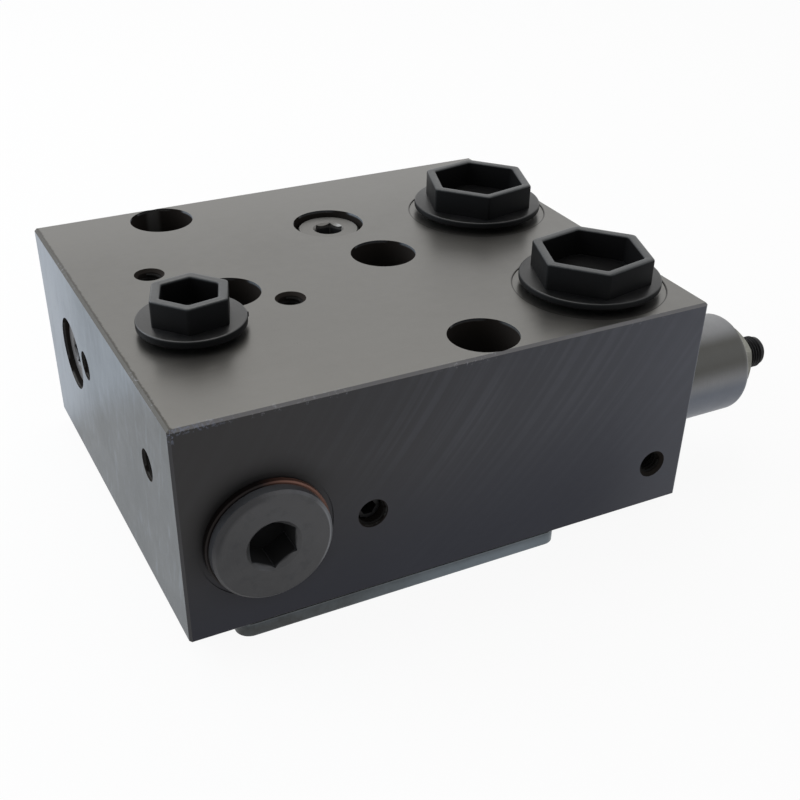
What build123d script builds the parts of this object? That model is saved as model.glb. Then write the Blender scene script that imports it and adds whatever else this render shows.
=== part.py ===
from build123d import *
from math import cos, pi, radians, tan
import os

# Motor brake valve: a steel block that is bolted to a hydraulic motor.
# Origin at the centre of the mounting bolt pattern, on the underside of the mounting plate.
# X runs along the long side towards the counterbalance cartridge, Y to the back, Z up.

# Valve block
BLOCK_LENGTH = 152.0
BLOCK_DEPTH = 129.0
BLOCK_HEIGHT = 63.0
EDGE_CHAMFER = 0.7
PATTERN_FROM_LEFT = 62.0

# Mounting plate under the block
PLATE_LENGTH = 97.2
PLATE_THICKNESS = 4.0
PLATE_SETBACK = 0.4
PLATE_CORNER_R = 4.0
PLATE_SCREW_X = 38.0
PLATE_SCREW_Y = 38.0
PLATE_SCREW_D = 6.0
PLATE_SCREW_HEAD_D = 11.0
PLATE_SCREW_LENGTH = 12.0
PLATE_SCREW_KEY = 4.0
PLATE_SCREW_KEY_DEPTH = 2.4
PLATE_SCREW_SUNK = 0.2
PLATE_SCREW_END_GAP = 1.0

# Motor flange: two bolts of each port's four-bolt pattern
BOLT_SPACING = 57.2
FLANGE_BOLT_WIDTH = 27.8
BOLT_OFFSET_X = 25.2
BOLT_PAIR_OFFSET_Y = 25.8
BOLT_HOLE_D = 13.5
COUNTERBORE_D = 19.0
COUNTERBORE_DEPTH = 13.0
MOTOR_PORT_D = 25.0
MOTOR_PORT_DEPTH_A = 44.0
MOTOR_PORT_DEPTH_B = 26.0
FLANGE_SEAL_MEAN_D = 35.6
BLOCK_SEAL_CORD = 3.0
PLATE_SEAL_CORD = 2.6
SEAL_GROOVE_WIDTH = 3.6
RADIAL_GROOVE_DEPTH = 0.9
RADIAL_GROOVE_SHARE = 0.03

# Fits
THREAD_GAP = 0.05
SEAL_GAP = 0.06
SEAT_GAP = 0.02
RUNNING_GAP = 0.05
HEAD_GAP = 0.15
EDGE_BREAK = 0.5
THREAD_LEAD = 0.8

# Threaded ports in the top face
LINE_PORT_X = 67.0
LINE_PORT_A_Y = 20.5
LINE_PORT_B_Y = -40.9
LINE_PORT_D = 27.0
LINE_PORT_THREAD = 18.0
LINE_SPOTFACE_D = 42.5
PORT_A_BORE_D = 22.0
PORT_B_BORE_D = 10.0
PORT_A_BORE_DEPTH = 34.0
BRAKE_PORT_X = -40.6
BRAKE_PORT_Y = -19.5
BRAKE_PORT_D = 18.0
BRAKE_PORT_THREAD = 14.0
BRAKE_SPOTFACE_D = 26.0
BRAKE_DRILLING_D = 6.0
SPOTFACE_DEPTH = 0.25

# Plastic port caps
CAP_HEX_CORNER = 11.0
CAP_FLANGE_D = 39.2
CAP_FLANGE_H = 1.9
CAP_HEX_AF = 29.7
CAP_CUP_AF = 24.6
CAP_HEX_H = 7.2
CAP_CUP_DEPTH = 7.4
CAP_SHANK = 11.0
BRAKE_CAP_HEX_CORNER = 9.4
BRAKE_CAP_FLANGE_D = 28.6
BRAKE_CAP_FLANGE_H = 2.2
BRAKE_CAP_HEX_AF = 19.5
BRAKE_CAP_CUP_AF = 14.4
BRAKE_CAP_HEX_H = 7.2
BRAKE_CAP_CUP_DEPTH = 7.4
BRAKE_CAP_SHANK = 9.0
CAP_FLOOR_THICKNESS = 2.4
CAP_SHANK_WALL = 3.2
CAP_SEAT_GAP = 1.7
CAP_EDGE_R = 0.6
CAP_GATE_R = 0.45
CAP_GATE_LOW = 0.3
CAP_GATE_ANGLE = -10.0

# Long line channel with its recessed plug in the left end, and the check valve in the top
CHANNEL_Y = 33.0
CHANNEL_Z = 35.5
CHANNEL_D = 14.0
CHANNEL_LENGTH = 134.0
CHECK_X = 20.1
CHECK_Y = 30.3
PLUG_RECESS_D = 21.4
PLUG_SUNK = 1.6
PLUG_HEAD_D = 18.8
PLUG_HEAD_H = 3.5
PLUG_THREAD_D = 16.0
PLUG_SHANK = 6.0
PLUG_KEY = 8.0
PLUG_KEY_DEPTH = 4.3
PLUG_KEY_MOUTH_D = 9.4
PLUG_UNDERCUT = 0.4
PLUG_SEAL_H = 1.3
PLUG_SEAL_WIDTH = 1.0
CHECK_CHAMBER_D = 13.0
CHECK_SEAT_D = 8.0
CHECK_SEAT_DEPTH = 18.5
CHECK_THREAD_RUNOUT = 0.5
CHECK_LIFT = 2.0
CHECK_CONE_H = 1.6
CHECK_FLAT_RATIO = 0.8
CHECK_FLAT_ANGLE = 45.0
CHECK_STEM_D = 4.8
CHECK_STEM_H = 1.4
CHECK_SPRING_D = 9.0
CHECK_SPRING_WIRE = 0.8
CHECK_SPRING_TURNS = 2.5
CHECK_POCKET_D = 10.0
CHECK_POCKET_DEPTH = 3.4
CHECK_DRILLING_D = 5.0
CHECK_DRILLING_RISE = 2.6
CHECK_DRILLING_SHIFT = 3.0
CHECK_DRILLING_DROP = 11.5

# Brake release shuttle behind the large front plug
SHUTTLE_X = -40.0
SHUTTLE_Z = 27.3
FRONT_THREAD_D = 27.0
FRONT_THREAD_DEPTH = 24.5
FRONT_SPOTFACE_D = 36.0
FRONT_HEAD_D = 31.4
FRONT_HEAD_H = 3.2
FRONT_SHANK = 13.0
FRONT_KEY = 12.0
FRONT_KEY_DEPTH = 9.0
FRONT_KEY_MOUTH_D = 14.6
FRONT_KEY_CORNER = 30.0
FRONT_HEAD_CHAMFER = 0.7
WASHER_D = 33.0
WASHER_THICKNESS = 2.1
WASHER_EDGE = 0.35
SEAT_BORE_D = 16.0
SEAT_LENGTH = 14.0
SEAT_SEAL_PLACE = 0.3
SEAT_HOLE_D = 6.0
SEAT_KEY = 8.0
SEAT_KEY_DEPTH = 5.0
BALL_D = 11.0
BALL_CHAMBER_D = 12.6
BALL_CHAMBER_LENGTH = 10.0
SHUTTLE_CHANNEL_D = 8.0
SHUTTLE_CHANNEL_END_WALL = 2.7

# Small tapped holes and pilot drillings
TAP_DRILL_D = 6.8
TAP_MOUTH_D = 8.5
TAP_DEPTH = 15.0
TAP_POINT_ANGLE = 118.0
SET_SCREW_D = 8.0
SET_SCREW_LENGTH = 8.0
SET_SCREW_KEY = 4.0
SET_SCREW_KEY_DEPTH = 4.0
PILOT_D = 5.0
GAUGE_A_X = -40.6
GAUGE_A_Y = 17.3
GAUGE_B_X = -10.9
GAUGE_B_Y = -13.5
SIDE_TAP_X = 79.3
SIDE_TAP_Z = 14.0
SIDE_TAP_DEPTH = 10.0
FRONT_PILOT_Z = 24.7
FRONT_PILOT_SUNK = 3.2
LEFT_PILOT_A_Y = 16.2
LEFT_PILOT_A_Z = 39.7
LEFT_PILOT_B_Y = -42.5
LEFT_PILOT_B_Z = 41.1
LEFT_PILOT_SUNK = 5.0
LEFT_PILOT_B_D = 6.0
PILOT_INTO_PORT = 2.0

# Counterbalance cartridge in the right end, on the axis of port B
CARTRIDGE_Z = 27.0
CARTRIDGE_THREAD_D = 27.0
CARTRIDGE_THREAD_DEPTH = 11.0
PILOT_SECTION_D = 23.0
PILOT_SECTION_END = 17.5
LINE_SECTION_D = 21.0
LINE_SECTION_END = 33.0
NOSE_SECTION_D = 18.0
NOSE_SECTION_END = 46.0
NOSE_DRILLING_D = 10.0
NOSE_DRILLING_Y = 2.4
NOSE_DRILLING_Z = -2.0
PILOT_LINE_D = 3.0
PILOT_LINE_DEPTH = 24.0
SLEEVE_FLANGE_H = 2.0
SLEEVE_NOSE_GAP = 0.5
SLEEVE_FLANGE_GAP = 0.2
SLEEVE_STEP_GAP = 0.1
SLEEVE_SEAT_DEPTH = 40.0
SLEEVE_SEAT_D = 8.4
PILOT_SEAL_LAND = 0.3
NOSE_SEAL_LAND = 1.5
LINE_HOLE_D = 5.0
LINE_HOLE_COUNT = 6
PILOT_HOLE_D = 1.2
PILOT_HOLE_COUNT = 2
POPPET_D = 12.0
PILOT_PISTON_D = 14.0
PILOT_STEP_DEPTH = 13.5
PILOT_CHAMBER_H = 1.5
POPPET_WAIST_D = 7.0
POPPET_NOSE_D = 5.0
POPPET_HEAD_D = 10.4
POPPET_CONE_ANGLE = 30.0
POPPET_LAND_DEPTH = 20.0
POPPET_TAIL_DEPTH = 7.5
POPPET_LIFT = 3.0
POPPET_RIM_H = 0.6
POPPET_FILLET_H = 1.6

# Spring housing, spring and adjusting screw
HOUSING_D = 30.0
HOUSING_LENGTH = 30.5
HOUSING_END_R = 2.3
HOUSING_BORE_D = 19.0
HOUSING_END_WALL = 6.5
HOUSING_NECK_D = 24.0
HOUSING_NECK_LENGTH = 2.4
SPRING_SEAT_D = 17.6
SPRING_SEAT_H = 2.5
SPRING_BOSS_D = 8.0
SPRING_PLATE_H = 4.5
SPRING_PLATE_FROM_FACE = 19.5
SPRING_D = 15.6
SPRING_WIRE = 2.4
SPRING_TURNS = 4.5
SCREW_D = 10.0
SCREW_REACH = 46.1
SCREW_POINT_D = 1.6
SCREW_POINT_H = 2.1
SCREW_END_D = 6.8
SCREW_END_H = 1.1
SCREW_KEY = 5.0
SCREW_KEY_DEPTH = 6.0
SCREW_SEAT_D = 5.0
SCREW_SEAT_DEPTH = 1.3
SCREW_TIP_GAP = 0.6
SCREW_IN_TRAVEL = 3.0
NUT_AF = 16.0
NUT_H = 6.6
NUT_CORNER = 24.0
NUT_FACE_RATIO = 0.95
NUT_CHAMFER_ANGLE = 29.0
NUT_SEAL_D = 13.4
NUT_SEAL_H = 1.2

# Derived places
X_LEFT = -PATTERN_FROM_LEFT
X_RIGHT = X_LEFT + BLOCK_LENGTH
Y_FRONT = -BLOCK_DEPTH / 2
Z_BOTTOM = PLATE_THICKNESS
Z_TOP = Z_BOTTOM + BLOCK_HEIGHT
MOTOR_PORT_X = BOLT_OFFSET_X - FLANGE_BOLT_WIDTH / 2
SHUTTLE_AXIS_Z = Z_BOTTOM + SHUTTLE_Z
SEAT_SHOULDER_DEPTH = BRAKE_PORT_Y - Y_FRONT - BALL_CHAMBER_LENGTH / 2
SHUTTLE_CHANNEL_END = GAUGE_A_Y - Y_FRONT + SHUTTLE_CHANNEL_END_WALL
CARTRIDGE_AXIS_Z = Z_BOTTOM + CARTRIDGE_Z
CHANNEL_AXIS_Z = Z_BOTTOM + CHANNEL_Z
PLUG_SHOULDER = PLUG_SUNK + PLUG_HEAD_H
CHECK_GUIDE_LOW = SEAT_GAP + CHECK_CONE_H - CHECK_SEAT_DEPTH
CHECK_GUIDE_HIGH = -PLUG_SHOULDER - PLUG_SHANK - CHECK_LIFT - SEAT_GAP
SPRING_LOW = SPRING_SEAT_H - POPPET_TAIL_DEPTH
SPRING_HIGH = SPRING_PLATE_FROM_FACE - SPRING_PLATE_H
SPRING_BOSS_H = (SPRING_HIGH - SPRING_LOW - POPPET_LIFT - SCREW_IN_TRAVEL) / 2 - SEAT_GAP
OVERCUT = 1.0


# Faces of the block, as planes whose Z points out of the block
def on_top(x, y):
    return Plane(origin=(x, y, Z_TOP), x_dir=(1, 0, 0), z_dir=(0, 0, 1))


def on_bottom(x, y, z=Z_BOTTOM):
    return Plane(origin=(x, y, z), x_dir=(1, 0, 0), z_dir=(0, 0, -1))


def on_front(x, z):
    return Plane(origin=(x, Y_FRONT, z), x_dir=(1, 0, 0), z_dir=(0, -1, 0))


def on_left(y, z):
    return Plane(origin=(X_LEFT, y, z), x_dir=(0, -1, 0), z_dir=(-1, 0, 0))


def on_right(y, z):
    return Plane(origin=(X_RIGHT, y, z), x_dir=(0, 1, 0), z_dir=(1, 0, 0))


LINE_PORT_A = on_top(LINE_PORT_X, LINE_PORT_A_Y)
LINE_PORT_B = on_top(LINE_PORT_X, LINE_PORT_B_Y)
BRAKE_PORT = on_top(BRAKE_PORT_X, BRAKE_PORT_Y)
CHECK_VALVE = on_top(CHECK_X, CHECK_Y)
CHANNEL_END = on_left(CHANNEL_Y, CHANNEL_AXIS_Z)
SHUTTLE = on_front(SHUTTLE_X, SHUTTLE_AXIS_Z)
CARTRIDGE = on_right(LINE_PORT_B_Y, CARTRIDGE_AXIS_Z)
FRONT_PILOT = on_front(GAUGE_B_X, Z_BOTTOM + FRONT_PILOT_Z)
LEFT_PILOT_A = on_left(LEFT_PILOT_A_Y, Z_BOTTOM + LEFT_PILOT_A_Z)
LEFT_PILOT_B = on_left(LEFT_PILOT_B_Y, Z_BOTTOM + LEFT_PILOT_B_Z)
SIDE_TAP = on_front(SIDE_TAP_X, Z_BOTTOM + SIDE_TAP_Z)
BOLT_PLACES = [
    (side * BOLT_OFFSET_X, -side * BOLT_PAIR_OFFSET_Y + end * BOLT_SPACING / 2)
    for side in (-1, 1)
    for end in (-1, 1)
]
MOTOR_PORTS = [
    (-MOTOR_PORT_X, BOLT_PAIR_OFFSET_Y, MOTOR_PORT_DEPTH_A),
    (MOTOR_PORT_X, -BOLT_PAIR_OFFSET_Y, MOTOR_PORT_DEPTH_B),
]
PLATE_SCREW_PLACES = [(-PLATE_SCREW_X, PLATE_SCREW_Y), (PLATE_SCREW_X, -PLATE_SCREW_Y)]


# Basic shapes
def turned(*outline):
    """Solid of revolution about Z from (radius, height) points."""
    points = [(radius, 0, height) for radius, height in outline]
    return revolve(make_face(Polyline(*points, close=True)), Axis.Z)


def disc(diameter, low, high):
    """Cylinder on Z between two heights."""
    height = high - low
    return Pos(0, 0, low) * Cylinder(diameter / 2, height, align=(Align.CENTER, Align.CENTER, Align.MIN))


def hexagon(across_flats, low, high, corner=0.0):
    """Hexagonal prism on Z between two heights, with one corner at the given angle."""
    sketch = RegularPolygon(across_flats / 2, 6, major_radius=False, rotation=corner)
    return Pos(0, 0, low) * extrude(sketch, high - low)


def ring(centre_r, cord_r, height):
    """O-ring on Z at a height."""
    return Pos(0, 0, height) * Torus(centre_r, cord_r)


def drilling(start, end, diameter):
    """Straight drilling between two points."""
    run = Vector(*end) - Vector(*start)
    tool = Cylinder(diameter / 2, run.length, align=(Align.CENTER, Align.CENTER, Align.MIN))
    return Plane(origin=start, z_dir=run) * tool


def coil(mean_d, wire_d, low, high, turns):
    """Helical spring on Z whose wire lies between two heights."""
    rise = high - low - wire_d
    path = Pos(0, 0, low + wire_d / 2) * Helix(rise / turns, rise, mean_d / 2)
    section = Plane(origin=path @ 0, z_dir=path % 0) * Circle(wire_d / 2)
    return sweep(section, path=path, is_frenet=True)


# Cavities of the block, in the plane of the face that they open in
def counterbored_hole():
    clear = disc(BOLT_HOLE_D, -BLOCK_HEIGHT - OVERCUT, 0)
    return clear + disc(COUNTERBORE_D, -COUNTERBORE_DEPTH, OVERCUT)


def line_port(bore_d, bore_depth):
    cavity = disc(LINE_SPOTFACE_D, -SPOTFACE_DEPTH, OVERCUT)
    cavity += disc(LINE_PORT_D, -LINE_PORT_THREAD, 0)
    return cavity + disc(bore_d, -bore_depth, 0)


def brake_port():
    cavity = disc(BRAKE_SPOTFACE_D, -SPOTFACE_DEPTH, OVERCUT)
    cavity += disc(BRAKE_PORT_D, -BRAKE_PORT_THREAD, 0)
    return cavity + disc(BRAKE_DRILLING_D, SHUTTLE_AXIS_Z - Z_TOP, 0)


def tapped_hole(depth):
    mouth = (TAP_MOUTH_D - TAP_DRILL_D) / 2
    point = TAP_DRILL_D / 2 / tan(radians(TAP_POINT_ANGLE / 2))
    return turned(
        (0, OVERCUT),
        (TAP_MOUTH_D / 2, OVERCUT),
        (TAP_MOUTH_D / 2, 0),
        (TAP_DRILL_D / 2, -mouth),
        (TAP_DRILL_D / 2, -depth),
        (0, -depth - point),
    )


def pilot_hole(sunk, bore_d, depth):
    """Drilling closed near its mouth by a set screw."""
    mouth = (TAP_MOUTH_D - SET_SCREW_D) / 2
    screw_end = sunk + SET_SCREW_LENGTH
    return turned(
        (0, OVERCUT),
        (TAP_MOUTH_D / 2, OVERCUT),
        (TAP_MOUTH_D / 2, 0),
        (SET_SCREW_D / 2, -mouth),
        (SET_SCREW_D / 2, -screw_end),
        (bore_d / 2, -screw_end),
        (bore_d / 2, -depth),
        (0, -depth),
    )


def plug_recess():
    """Counterbore that takes the head of a sunk plug."""
    return disc(PLUG_RECESS_D, -PLUG_SHOULDER, OVERCUT)


def check_cavity():
    thread_end = PLUG_SHOULDER + PLUG_SHANK + CHECK_THREAD_RUNOUT
    cavity = plug_recess() + disc(PLUG_THREAD_D, -thread_end, 0)
    cavity += disc(CHECK_CHAMBER_D, -CHECK_SEAT_DEPTH, 0)
    return cavity + disc(CHECK_SEAT_D, CHANNEL_AXIS_Z - Z_TOP, 0)


def channel_cavity():
    cavity = plug_recess() + disc(PLUG_THREAD_D, -PLUG_SHOULDER - PLUG_SHANK - THREAD_LEAD, 0)
    return cavity + disc(CHANNEL_D, -CHANNEL_LENGTH, 0)


def shuttle_cavity():
    chamber_end = SEAT_SHOULDER_DEPTH + BALL_CHAMBER_LENGTH
    cavity = disc(FRONT_SPOTFACE_D, -SPOTFACE_DEPTH, OVERCUT)
    cavity += disc(FRONT_THREAD_D, -FRONT_THREAD_DEPTH, 0)
    cavity += disc(SEAT_BORE_D, -SEAT_SHOULDER_DEPTH, 0)
    cavity += disc(BALL_CHAMBER_D, -chamber_end, 0)
    return cavity + disc(SHUTTLE_CHANNEL_D, -SHUTTLE_CHANNEL_END, 0)


def cartridge_cavity():
    cavity = disc(CARTRIDGE_THREAD_D, -CARTRIDGE_THREAD_DEPTH, OVERCUT)
    cavity += disc(PILOT_SECTION_D, -PILOT_SECTION_END, 0)
    cavity += disc(LINE_SECTION_D, -LINE_SECTION_END, 0)
    return cavity + disc(NOSE_SECTION_D, -NOSE_SECTION_END, 0)


def seal_groove(depth):
    """Face groove round a motor port, cut upwards from the underside."""
    outer = FLANGE_SEAL_MEAN_D + SEAL_GROOVE_WIDTH
    inner = FLANGE_SEAL_MEAN_D - SEAL_GROOVE_WIDTH
    return disc(outer, -depth, OVERCUT) - disc(inner, -depth, OVERCUT)


def pilot_drillings():
    """Drillings that join the cavities inside the block."""
    roof = Z_BOTTOM + MOTOR_PORT_DEPTH_B
    shift = CHECK_DRILLING_SHIFT
    nose = on_right(LINE_PORT_B_Y + NOSE_DRILLING_Y, CARTRIDGE_AXIS_Z + NOSE_DRILLING_Z)
    nose_end = X_RIGHT - MOTOR_PORT_X + NOSE_DRILLING_D / 2
    check = (CHECK_X - shift, CHECK_Y - shift, Z_TOP - CHECK_SEAT_DEPTH + CHECK_DRILLING_RISE)
    check_end = (MOTOR_PORT_X - shift, -BOLT_PAIR_OFFSET_Y, roof - CHECK_DRILLING_DROP)
    line_a = (LINE_PORT_X, LINE_PORT_A_Y, Z_TOP - PILOT_LINE_DEPTH)
    pilot_x = X_RIGHT - (CARTRIDGE_THREAD_DEPTH + PILOT_SECTION_END) / 2
    pilot = (pilot_x, LINE_PORT_B_Y + PILOT_SECTION_D / 2 - EDGE_BREAK, CARTRIDGE_AXIS_Z)
    return [
        nose * disc(NOSE_DRILLING_D, -nose_end, EDGE_BREAK - NOSE_SECTION_END),
        drilling(check, check_end, CHECK_DRILLING_D),
        drilling(line_a, pilot, PILOT_LINE_D),
    ]


def valve_body():
    """The block with every bore, port and drilling."""
    block = Box(BLOCK_LENGTH, BLOCK_DEPTH, BLOCK_HEIGHT, align=(Align.MIN, Align.CENTER, Align.MIN))
    block = Pos(X_LEFT, 0, Z_BOTTOM) * chamfer(block.edges(), EDGE_CHAMFER)
    port_b_depth = Z_TOP - CARTRIDGE_AXIS_Z
    gauge_a_depth = Z_TOP - SHUTTLE_AXIS_Z
    gauge_b_depth = BLOCK_HEIGHT - FRONT_PILOT_Z
    pilot_a_reach = -MOTOR_PORT_X - X_LEFT
    pilot_b_reach = LINE_PORT_X - X_LEFT - PORT_B_BORE_D / 4
    front_reach = BOLT_PAIR_OFFSET_Y - MOTOR_PORT_D / 2 - Y_FRONT + PILOT_INTO_PORT
    cuts = [on_top(x, y) * counterbored_hole() for x, y in BOLT_PLACES]
    for x, y, depth in MOTOR_PORTS:
        cuts.append(on_bottom(x, y) * disc(MOTOR_PORT_D, -depth, OVERCUT))
        cuts.append(on_bottom(x, y) * seal_groove(BLOCK_SEAL_CORD))
    for x, y in PLATE_SCREW_PLACES:
        cuts.append(on_bottom(x, y) * disc(PLATE_SCREW_D, -PLATE_SCREW_LENGTH, OVERCUT))
    cuts.append(LINE_PORT_A * line_port(PORT_A_BORE_D, PORT_A_BORE_DEPTH))
    cuts.append(LINE_PORT_B * line_port(PORT_B_BORE_D, port_b_depth))
    cuts.append(BRAKE_PORT * brake_port())
    cuts.append(CHECK_VALVE * check_cavity())
    cuts.append(CHANNEL_END * channel_cavity())
    cuts.append(SHUTTLE * shuttle_cavity())
    cuts.append(CARTRIDGE * cartridge_cavity())
    cuts.append(on_top(GAUGE_A_X, GAUGE_A_Y) * tapped_hole(TAP_DEPTH))
    cuts.append(on_top(GAUGE_A_X, GAUGE_A_Y) * disc(PILOT_D, -gauge_a_depth, 0))
    cuts.append(on_top(GAUGE_B_X, GAUGE_B_Y) * tapped_hole(TAP_DEPTH))
    cuts.append(on_top(GAUGE_B_X, GAUGE_B_Y) * disc(PILOT_D, -gauge_b_depth, 0))
    cuts.append(SIDE_TAP * tapped_hole(SIDE_TAP_DEPTH))
    cuts.append(FRONT_PILOT * pilot_hole(FRONT_PILOT_SUNK, PILOT_D, front_reach))
    cuts.append(LEFT_PILOT_A * pilot_hole(LEFT_PILOT_SUNK, PILOT_D, pilot_a_reach))
    cuts.append(LEFT_PILOT_B * pilot_hole(LEFT_PILOT_SUNK, LEFT_PILOT_B_D, pilot_b_reach))
    cuts.extend(pilot_drillings())
    return block - cuts


# Mounting plate and flange seals
def mounting_plate():
    depth = BLOCK_DEPTH - 2 * PLATE_SETBACK
    plate = extrude(RectangleRounded(PLATE_LENGTH, depth, PLATE_CORNER_R), PLATE_THICKNESS)
    through = PLATE_THICKNESS + OVERCUT
    cuts = [Pos(x, y) * disc(BOLT_HOLE_D, -OVERCUT, through) for x, y in BOLT_PLACES]
    cuts += [Pos(x, y) * disc(MOTOR_PORT_D, -OVERCUT, through) for x, y, _ in MOTOR_PORTS]
    cuts += [on_bottom(x, y, 0) * seal_groove(PLATE_SEAL_CORD) for x, y, _ in MOTOR_PORTS]
    cuts += [on_bottom(x, y, 0) * plate_screw_hole() for x, y in PLATE_SCREW_PLACES]
    return plate - cuts


def plate_screw_cone(gap):
    """Countersunk head and shank of a plate screw, grown by a gap."""
    head_r = PLATE_SCREW_HEAD_D / 2 + gap
    shank_r = PLATE_SCREW_D / 2 - THREAD_GAP + gap
    cone = head_r - shank_r
    return head_r, shank_r, cone


def plate_screw_hole():
    head_r, shank_r, cone = plate_screw_cone(HEAD_GAP)
    return turned(
        (0, OVERCUT),
        (head_r, OVERCUT),
        (head_r, -PLATE_SCREW_SUNK),
        (shank_r, -PLATE_SCREW_SUNK - cone),
        (shank_r, -PLATE_THICKNESS - OVERCUT),
        (0, -PLATE_THICKNESS - OVERCUT),
    )


def plate_screw():
    head_r, shank_r, cone = plate_screw_cone(0)
    top = -PLATE_SCREW_SUNK
    tip = PLATE_SCREW_LENGTH + PLATE_THICKNESS - PLATE_SCREW_END_GAP
    screw = turned(
        (0, top),
        (head_r, top),
        (head_r, top - HEAD_GAP),
        (shank_r, top - HEAD_GAP - cone),
        (shank_r, -tip),
        (0, -tip),
    )
    return screw - hexagon(PLATE_SCREW_KEY, top - PLATE_SCREW_KEY_DEPTH, OVERCUT)


def face_seal(cord):
    """O-ring that lies in a face groove, flush with the face."""
    return ring(FLANGE_SEAL_MEAN_D / 2, cord / 2 - SEAL_GAP, -cord / 2)


# Plastic caps of the threaded ports
def port_cap(port_d, flange_d, flange_h, hex_af, cup_af, hex_h, cup_depth, shank, corner):
    """Screw-in cap with a hexagonal cup, a flange that its ring seal holds off the seat, and a hollow shank."""
    low = CAP_SEAT_GAP - SPOTFACE_DEPTH
    top = low + flange_h
    rim = top + hex_h
    floor = rim - cup_depth
    end = -SPOTFACE_DEPTH - shank
    shank_r = port_d / 2 - THREAD_GAP
    flange = fillet(disc(flange_d, low, top).edges().sort_by(Axis.Z)[-1], CAP_EDGE_R)
    head = hexagon(hex_af, top - EDGE_BREAK, rim, corner)
    head = fillet(head.faces().sort_by(Axis.Z)[-1].edges() + head.edges().filter_by(Axis.Z), CAP_EDGE_R)
    stem = turned(
        (0, low + EDGE_BREAK),
        (shank_r, low + EDGE_BREAK),
        (shank_r, end + THREAD_LEAD),
        (shank_r - THREAD_LEAD, end),
        (0, end),
    )
    cap = flange + head + stem
    cap -= hexagon(cup_af, floor, rim + OVERCUT, corner)
    return cap - disc(2 * (shank_r - CAP_SHANK_WALL), end - OVERCUT, floor - CAP_FLOOR_THICKNESS)


def line_port_cap():
    return port_cap(
        LINE_PORT_D, CAP_FLANGE_D, CAP_FLANGE_H, CAP_HEX_AF, CAP_CUP_AF,
        CAP_HEX_H, CAP_CUP_DEPTH, CAP_SHANK, CAP_HEX_CORNER,
    )


def brake_port_cap():
    cap = port_cap(
        BRAKE_PORT_D, BRAKE_CAP_FLANGE_D, BRAKE_CAP_FLANGE_H, BRAKE_CAP_HEX_AF, BRAKE_CAP_CUP_AF,
        BRAKE_CAP_HEX_H, BRAKE_CAP_CUP_DEPTH, BRAKE_CAP_SHANK, BRAKE_CAP_HEX_CORNER,
    )
    flange_low = CAP_SEAT_GAP - SPOTFACE_DEPTH
    gate_top = flange_low + BRAKE_CAP_FLANGE_H - CAP_EDGE_R
    gate = Rot(0, 0, CAP_GATE_ANGLE) * Pos(BRAKE_CAP_FLANGE_D / 2, 0, 0)
    return cap + gate * disc(2 * CAP_GATE_R, flange_low + CAP_GATE_LOW, gate_top)


def cap_seal(port_d):
    """O-ring round the shank, between the flange and the seat."""
    cord_r = CAP_SEAT_GAP / 2 - SEAL_GAP
    centre = port_d / 2 - THREAD_GAP + SEAL_GAP + cord_r
    return ring(centre, cord_r, CAP_SEAT_GAP / 2 - SPOTFACE_DEPTH)


# Sunk plugs with a profile ring under the head
def sunk_plug():
    top = -PLUG_SUNK
    shoulder = -PLUG_SHOULDER
    shank_r = PLUG_THREAD_D / 2 - THREAD_GAP
    groove_r = shank_r + PLUG_SEAL_WIDTH + SEAL_GAP
    end = shoulder - PLUG_SHANK
    plug = turned(
        (0, top),
        (PLUG_HEAD_D / 2 - EDGE_BREAK, top),
        (PLUG_HEAD_D / 2, top - EDGE_BREAK),
        (PLUG_HEAD_D / 2, shoulder),
        (groove_r, shoulder),
        (groove_r, shoulder + PLUG_SEAL_H + SEAL_GAP),
        (shank_r - PLUG_UNDERCUT, shoulder + PLUG_SEAL_H + SEAL_GAP),
        (shank_r - PLUG_UNDERCUT, shoulder),
        (shank_r, shoulder - PLUG_UNDERCUT),
        (shank_r, end + THREAD_LEAD),
        (shank_r - THREAD_LEAD, end),
        (0, end),
    )
    return plug - key_socket(PLUG_KEY, PLUG_KEY_DEPTH, PLUG_KEY_MOUTH_D, top)


def top_plug():
    """Sunk plug with a pocket in its lower end for the check spring."""
    end = -PLUG_SHOULDER - PLUG_SHANK
    return sunk_plug() - disc(CHECK_POCKET_D, end - OVERCUT, end + CHECK_POCKET_DEPTH)


def key_socket(across_flats, depth, mouth_d, top, corner=0.0):
    """Hexagon socket with a countersunk mouth."""
    socket = hexagon(across_flats, top - depth, top + OVERCUT, corner)
    lead = (mouth_d - across_flats) / 2
    return socket + turned(
        (0, top + OVERCUT),
        (mouth_d / 2, top + OVERCUT),
        (mouth_d / 2, top),
        (across_flats / 2, top - lead),
        (0, top - lead),
    )


def plug_seal():
    inner = PLUG_THREAD_D / 2 - THREAD_GAP
    shoulder = -PLUG_SHOULDER
    outer = disc(2 * (inner + PLUG_SEAL_WIDTH), shoulder, shoulder + PLUG_SEAL_H)
    hole_d = 2 * (inner - PLUG_UNDERCUT + SEAL_GAP)
    return outer - disc(hole_d, shoulder - OVERCUT, shoulder + PLUG_SEAL_H + OVERCUT)


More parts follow.
